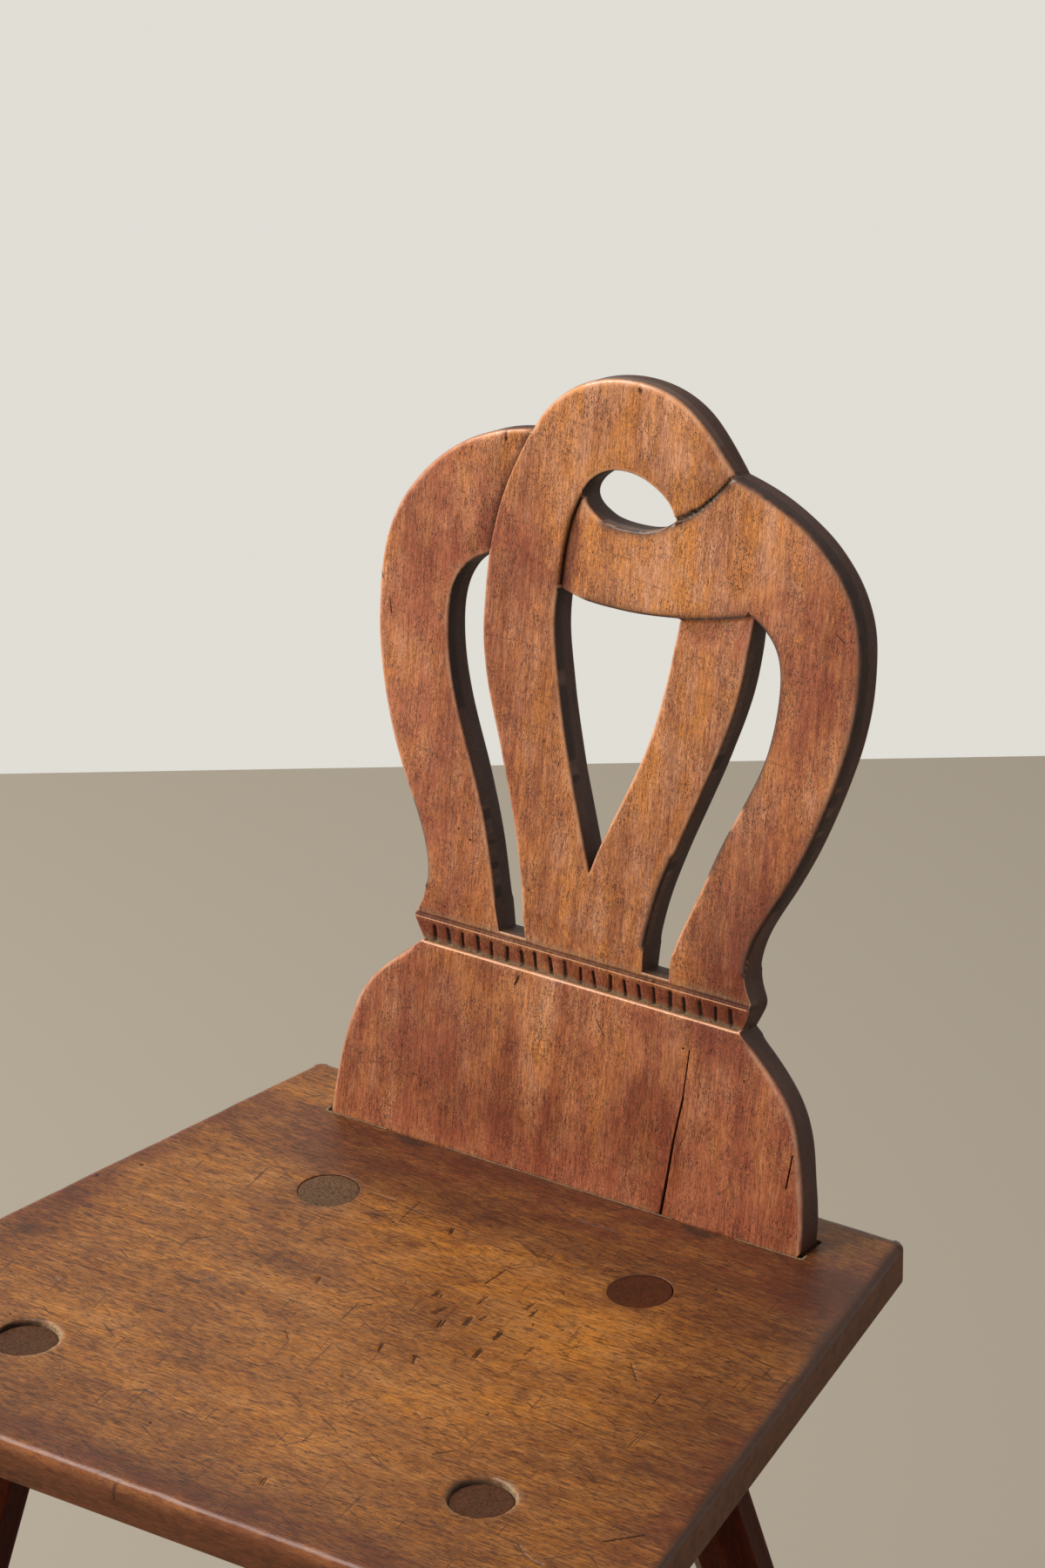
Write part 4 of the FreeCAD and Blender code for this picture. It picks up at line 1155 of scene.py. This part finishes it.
def wood(name, tan, gold, brown, red, dark, side, pale, gloss, sheen, fibre, pore, patina, scratch, figure,
         stroke):
    """Old polished wood. Grain follows the grain places; wear, dirt and painted light follow the marks."""
    s = principled(name)
    grain = s.mark("grain", "Vector")

    def pattern(scale, along, detail, roughness, distortion=0.0, through=1):
        return s.noise(grain, (1, through, along), scale, detail, roughness, distortion)

    clouds = pattern(24, 0.6, 4, 0.6, 0.4)
    blotch = pattern(130, 0.5, 4, 0.7, 0.4)
    bands = pattern(70, 0.08, 3, 0.55, 0.5, 0.6)
    streaks = pattern(380, 0.06, 4, 0.7, 0.3)
    strokes = pattern(1150, 0.16, 4, 0.7, 0.6)
    fibres = pattern(1700, 0.06, 3, 0.7)
    pores = pattern(4600, 0.2, 1, 0.5, 0.2)
    coarse = pattern(3000, 0.15, 1, 0.5, 0.1)
    hue = pattern(85, 0.35, 5, 0.7, 0.5)
    ruddy = pattern(75, 0.5, 5, 0.7)
    wall, rim, grime_and_shade, dust, red_mark, lightness_and_painted_light = [s.mark(mark) for mark in MARKS]

    # Light and dark wood, with painted highlights and painted shade from the light mark
    light = s.spread(clouds, 0.2, 0.8)
    for noises, amount in ((bands, 2.0 * figure), (streaks, 2.6 * figure), (blotch, 1.5 * patina),
                           (strokes, 2.2 * stroke)):
        light = s.swung(light, amount, noises)
    light = s.plus(light, 0.55, lightness_and_painted_light, clamp=True)
    colour = s.mix(light, brown, s.mix(s.spread(hue, 0.38, 0.60), tan, gold))
    redness = s.times(red_mark, s.spread(ruddy, 0.34, 0.62, 0.3, 1.2))
    redness = s.maths("ADD", redness, s.spread(ruddy, 0.50, 0.70, 0.0, 0.5 * patina), clamp=True)
    colour = s.mix(redness, colour, s.mix(light, s.mix(0.35, red, dark), s.mix(0.3, red, tan)))
    # Light marks above 0.9 are painted highlights: like worn rims they take the pale worn tone and a polish
    painted_highlight = s.spread(lightness_and_painted_light, 0.9, 1.5)
    polished = s.largest(rim, painted_highlight)
    worn = s.times(s.largest(s.times(rim, 0.4), s.times(painted_highlight, 0.7)), s.spread(blotch, 0.42, 0.58, 0.45, 1.0))
    colour = s.mix(worn, colour, pale)
    # Light marks below 0 darken towards the dark tone: darker wood, and painted shade on the seat's right
    # edge and beside the strap crossings
    colour = s.mix(s.spread(lightness_and_painted_light, -1.0, -0.05, 0.85, 0.0), colour, dark)

    # Fibres, pores, patina and scratches darken it, but less where it is polished or has a painted highlight
    clean = colour
    thick = s.spread(pattern(70, 1, 2, 0.5), 0.35, 0.6, 0.4, 1.0)
    pits = s.largest(s.spread(pores, 0.56, 0.66), s.spread(coarse, 0.59, 0.68))
    pits = s.times(pits, s.times(thick, pore))
    colour = s.mix(s.spread(fibres, 0.40, 0.56, 0.7 * fibre, 0.0), colour, dark)
    colour = s.mix(s.spread(strokes, 0.34, 0.47, 0.8 * stroke, 0.0), colour, dark)
    colour = s.mix(s.spread(blotch, 0.60, 0.76, 0.0, 0.6 * patina), colour, dark)
    colour = s.mix(pits, colour, s.mix(0.45, dark, PITS))
    if scratch:
        lines = 0.0
        for turn, scale, threshold in SCRATCHES:
            turned = s.node("VectorRotate", {"Vector": grain, "Angle": turn}, rotation_type="Y_AXIS")
            line = s.noise(turned, (1, 0.2, 0.05), scale, 1, 0.5, 0.15)
            lines = s.largest(lines, s.spread(line, threshold, threshold + 0.04))
        lines = s.times(lines, s.spread(clouds, 0.36, 0.60, 0.3, 1.0))
        colour = s.mix(s.times(lines, scratch), colour, dark)
    colour = s.mix(s.times(polished, 0.7), colour, clean)

    # Sides, which on the back are partly painted shade, dirt with painted shade, and dust
    side_wood_and_shade = s.mix(s.spread(strokes, 0.36, 0.62), s.mix(0.6, side, dark), s.mix(0.2, side, brown))
    side_wood_and_shade = s.mix(s.spread(blotch, 0.50, 0.72, 0.0, 0.6), side_wood_and_shade, dark)
    colour = s.mix(s.times(wall, 0.96), colour, side_wood_and_shade)
    # The grime mark darkens towards soot: dirt in cuts and grooves, and painted shade in corners, at the feet
    # of steps and in the sunk holes
    dirt_and_shade = s.times(grime_and_shade, s.spread(blotch, 0.35, 0.6, 0.8, 1.0), clamp=True)
    colour = s.mix(dirt_and_shade, colour, s.mix(0.6, dark, SOOT_AND_SHADE))
    dusty = s.times(dust, s.spread(pattern(800, 1, 3, 0.7), 0.36, 0.60, 0.25, 1.1), clamp=True)
    colour = s.mix(dusty, colour, DUST)

    rough = s.swung(s.spread(clouds, 0.3, 0.7, gloss + 0.06, gloss - 0.04), 0.3, blotch)
    for mark, share in ((pits, 0.2), (polished, -0.16), (grime_and_shade, 0.1), (dust, 0.4)):
        rough = s.plus(rough, share, mark)
    bumps = s.plus(s.times(fibres, 0.6), -0.8, pits)
    bumps = s.plus(bumps, 0.6, pattern(420, 1, 3, 0.6))
    bumps = s.times(bumps, s.plus(1.0, -0.85, polished))
    s.fill(s.last, {
        "Base Color": colour, "Roughness": s.plus(rough, 0.25, wall, clamp=True), "Specular IOR Level": sheen,
        "Normal": s.node("Bump", {"Height": bumps, "Strength": 0.45, "Distance": 0.15 * MM})})
    return s.holder


# Floor, light and camera

FLOOR_END = 3.795
FLOOR_LENGTH = 3.0
FLOOR_SIDE = 2.2
ROOM_STRENGTH = 0.515
WALL_STRENGTH = 0.75


def floor():
    """A pale floor, which ends where the wall behind the chair begins."""
    away = Vector((-math.sin(CAMERA_AZIMUTH), math.cos(CAMERA_AZIMUTH), 0))
    across = Vector((away.y, -away.x, 0)) * FLOOR_SIDE
    far = Vector((*CAMERA_PLACE[:2], 0)) + away * FLOOR_END
    near = far - away * FLOOR_LENGTH
    mesh = bpy.data.meshes.new("floor")
    mesh.from_pydata([near - across, near + across, far + across, far - across], [], [(0, 1, 2, 3)])
    s = principled("floor")
    s.fill(s.last, {"Base Color": (0.31, 0.27, 0.215), "Roughness": 0.9, "Specular IOR Level": 0.2})
    mesh.materials.append(s.holder)
    thing = placed("floor", mesh)


def room():
    """Soft light from all round, and a pale wall for what the camera and reflections see beyond the floor."""
    s = Shader(bpy.data.worlds.new("room"), "Background")
    seen = 0.0
    for ray in ("Is Camera Ray", "Is Glossy Ray", "Is Transmission Ray"):
        seen = s.largest(seen, s.node("LightPath", {}, ray))
    strength = s.plus(ROOM_STRENGTH, WALL_STRENGTH - ROOM_STRENGTH, seen)
    s.fill(s.last, {"Color": (1.0, 0.97, 0.895), "Strength": strength})
    bpy.context.scene.world = s.holder


def lamp(name, place, target, size, watts, mirrored):
    """An area lamp. One that isn't mirrored leaves no highlight of its own on polished edges."""
    light = bpy.data.lights.new(name, "AREA")
    light.shape = "RECTANGLE"
    light.size, light.size_y = size
    light.energy = watts
    thing = placed(name, light)
    thing.location = place
    thing.visible_glossy = mirrored
    thing.rotation_euler = (Vector(target) - Vector(place)).to_track_quat("-Z", "Y").to_euler()


def camera():
    data = bpy.data.cameras.new("camera")
    data.lens = LENS
    data.sensor_fit = "VERTICAL"
    data.sensor_height = SENSOR
    data.clip_start = 0.05
    thing = placed("camera", data)
    thing.location = CAMERA_PLACE
    turn = Matrix.Rotation(CAMERA_AZIMUTH, 4, "Z") @ Matrix.Rotation(math.pi / 2 - CAMERA_DIP, 4, "X")
    thing.rotation_euler = (turn @ Matrix.Rotation(CAMERA_ROLL, 4, "Z")).to_euler()
    bpy.context.scene.camera = thing


camera()
floor()
room()
lamp("window", (-2.5, -3.45, 2.15), (0, 0.15, 0.6), (2.0, 3.1), 185, False)
lamp("overhead", (-1.65, -0.15, 2.75), (0, 0.1, 0.5), (1.4, 1.7), 72, True)
FINISHES = {slot: wood(*row) for slot, row in WOODS.items()}
seat()
back()
for number, (node, dust, wear) in enumerate(LEGS, 1):
    leg(node, number, dust, wear)
for side in ("left", "right"):
    worn_copy("batten_" + side, "batten_bar_" + side, 1.2, 9, len(side))
    worn_copy("back_key_" + side, "wedge_key_" + side, 0.7, 5, 2 * len(side))

bpy.context.scene.view_settings.view_transform = "Standard"
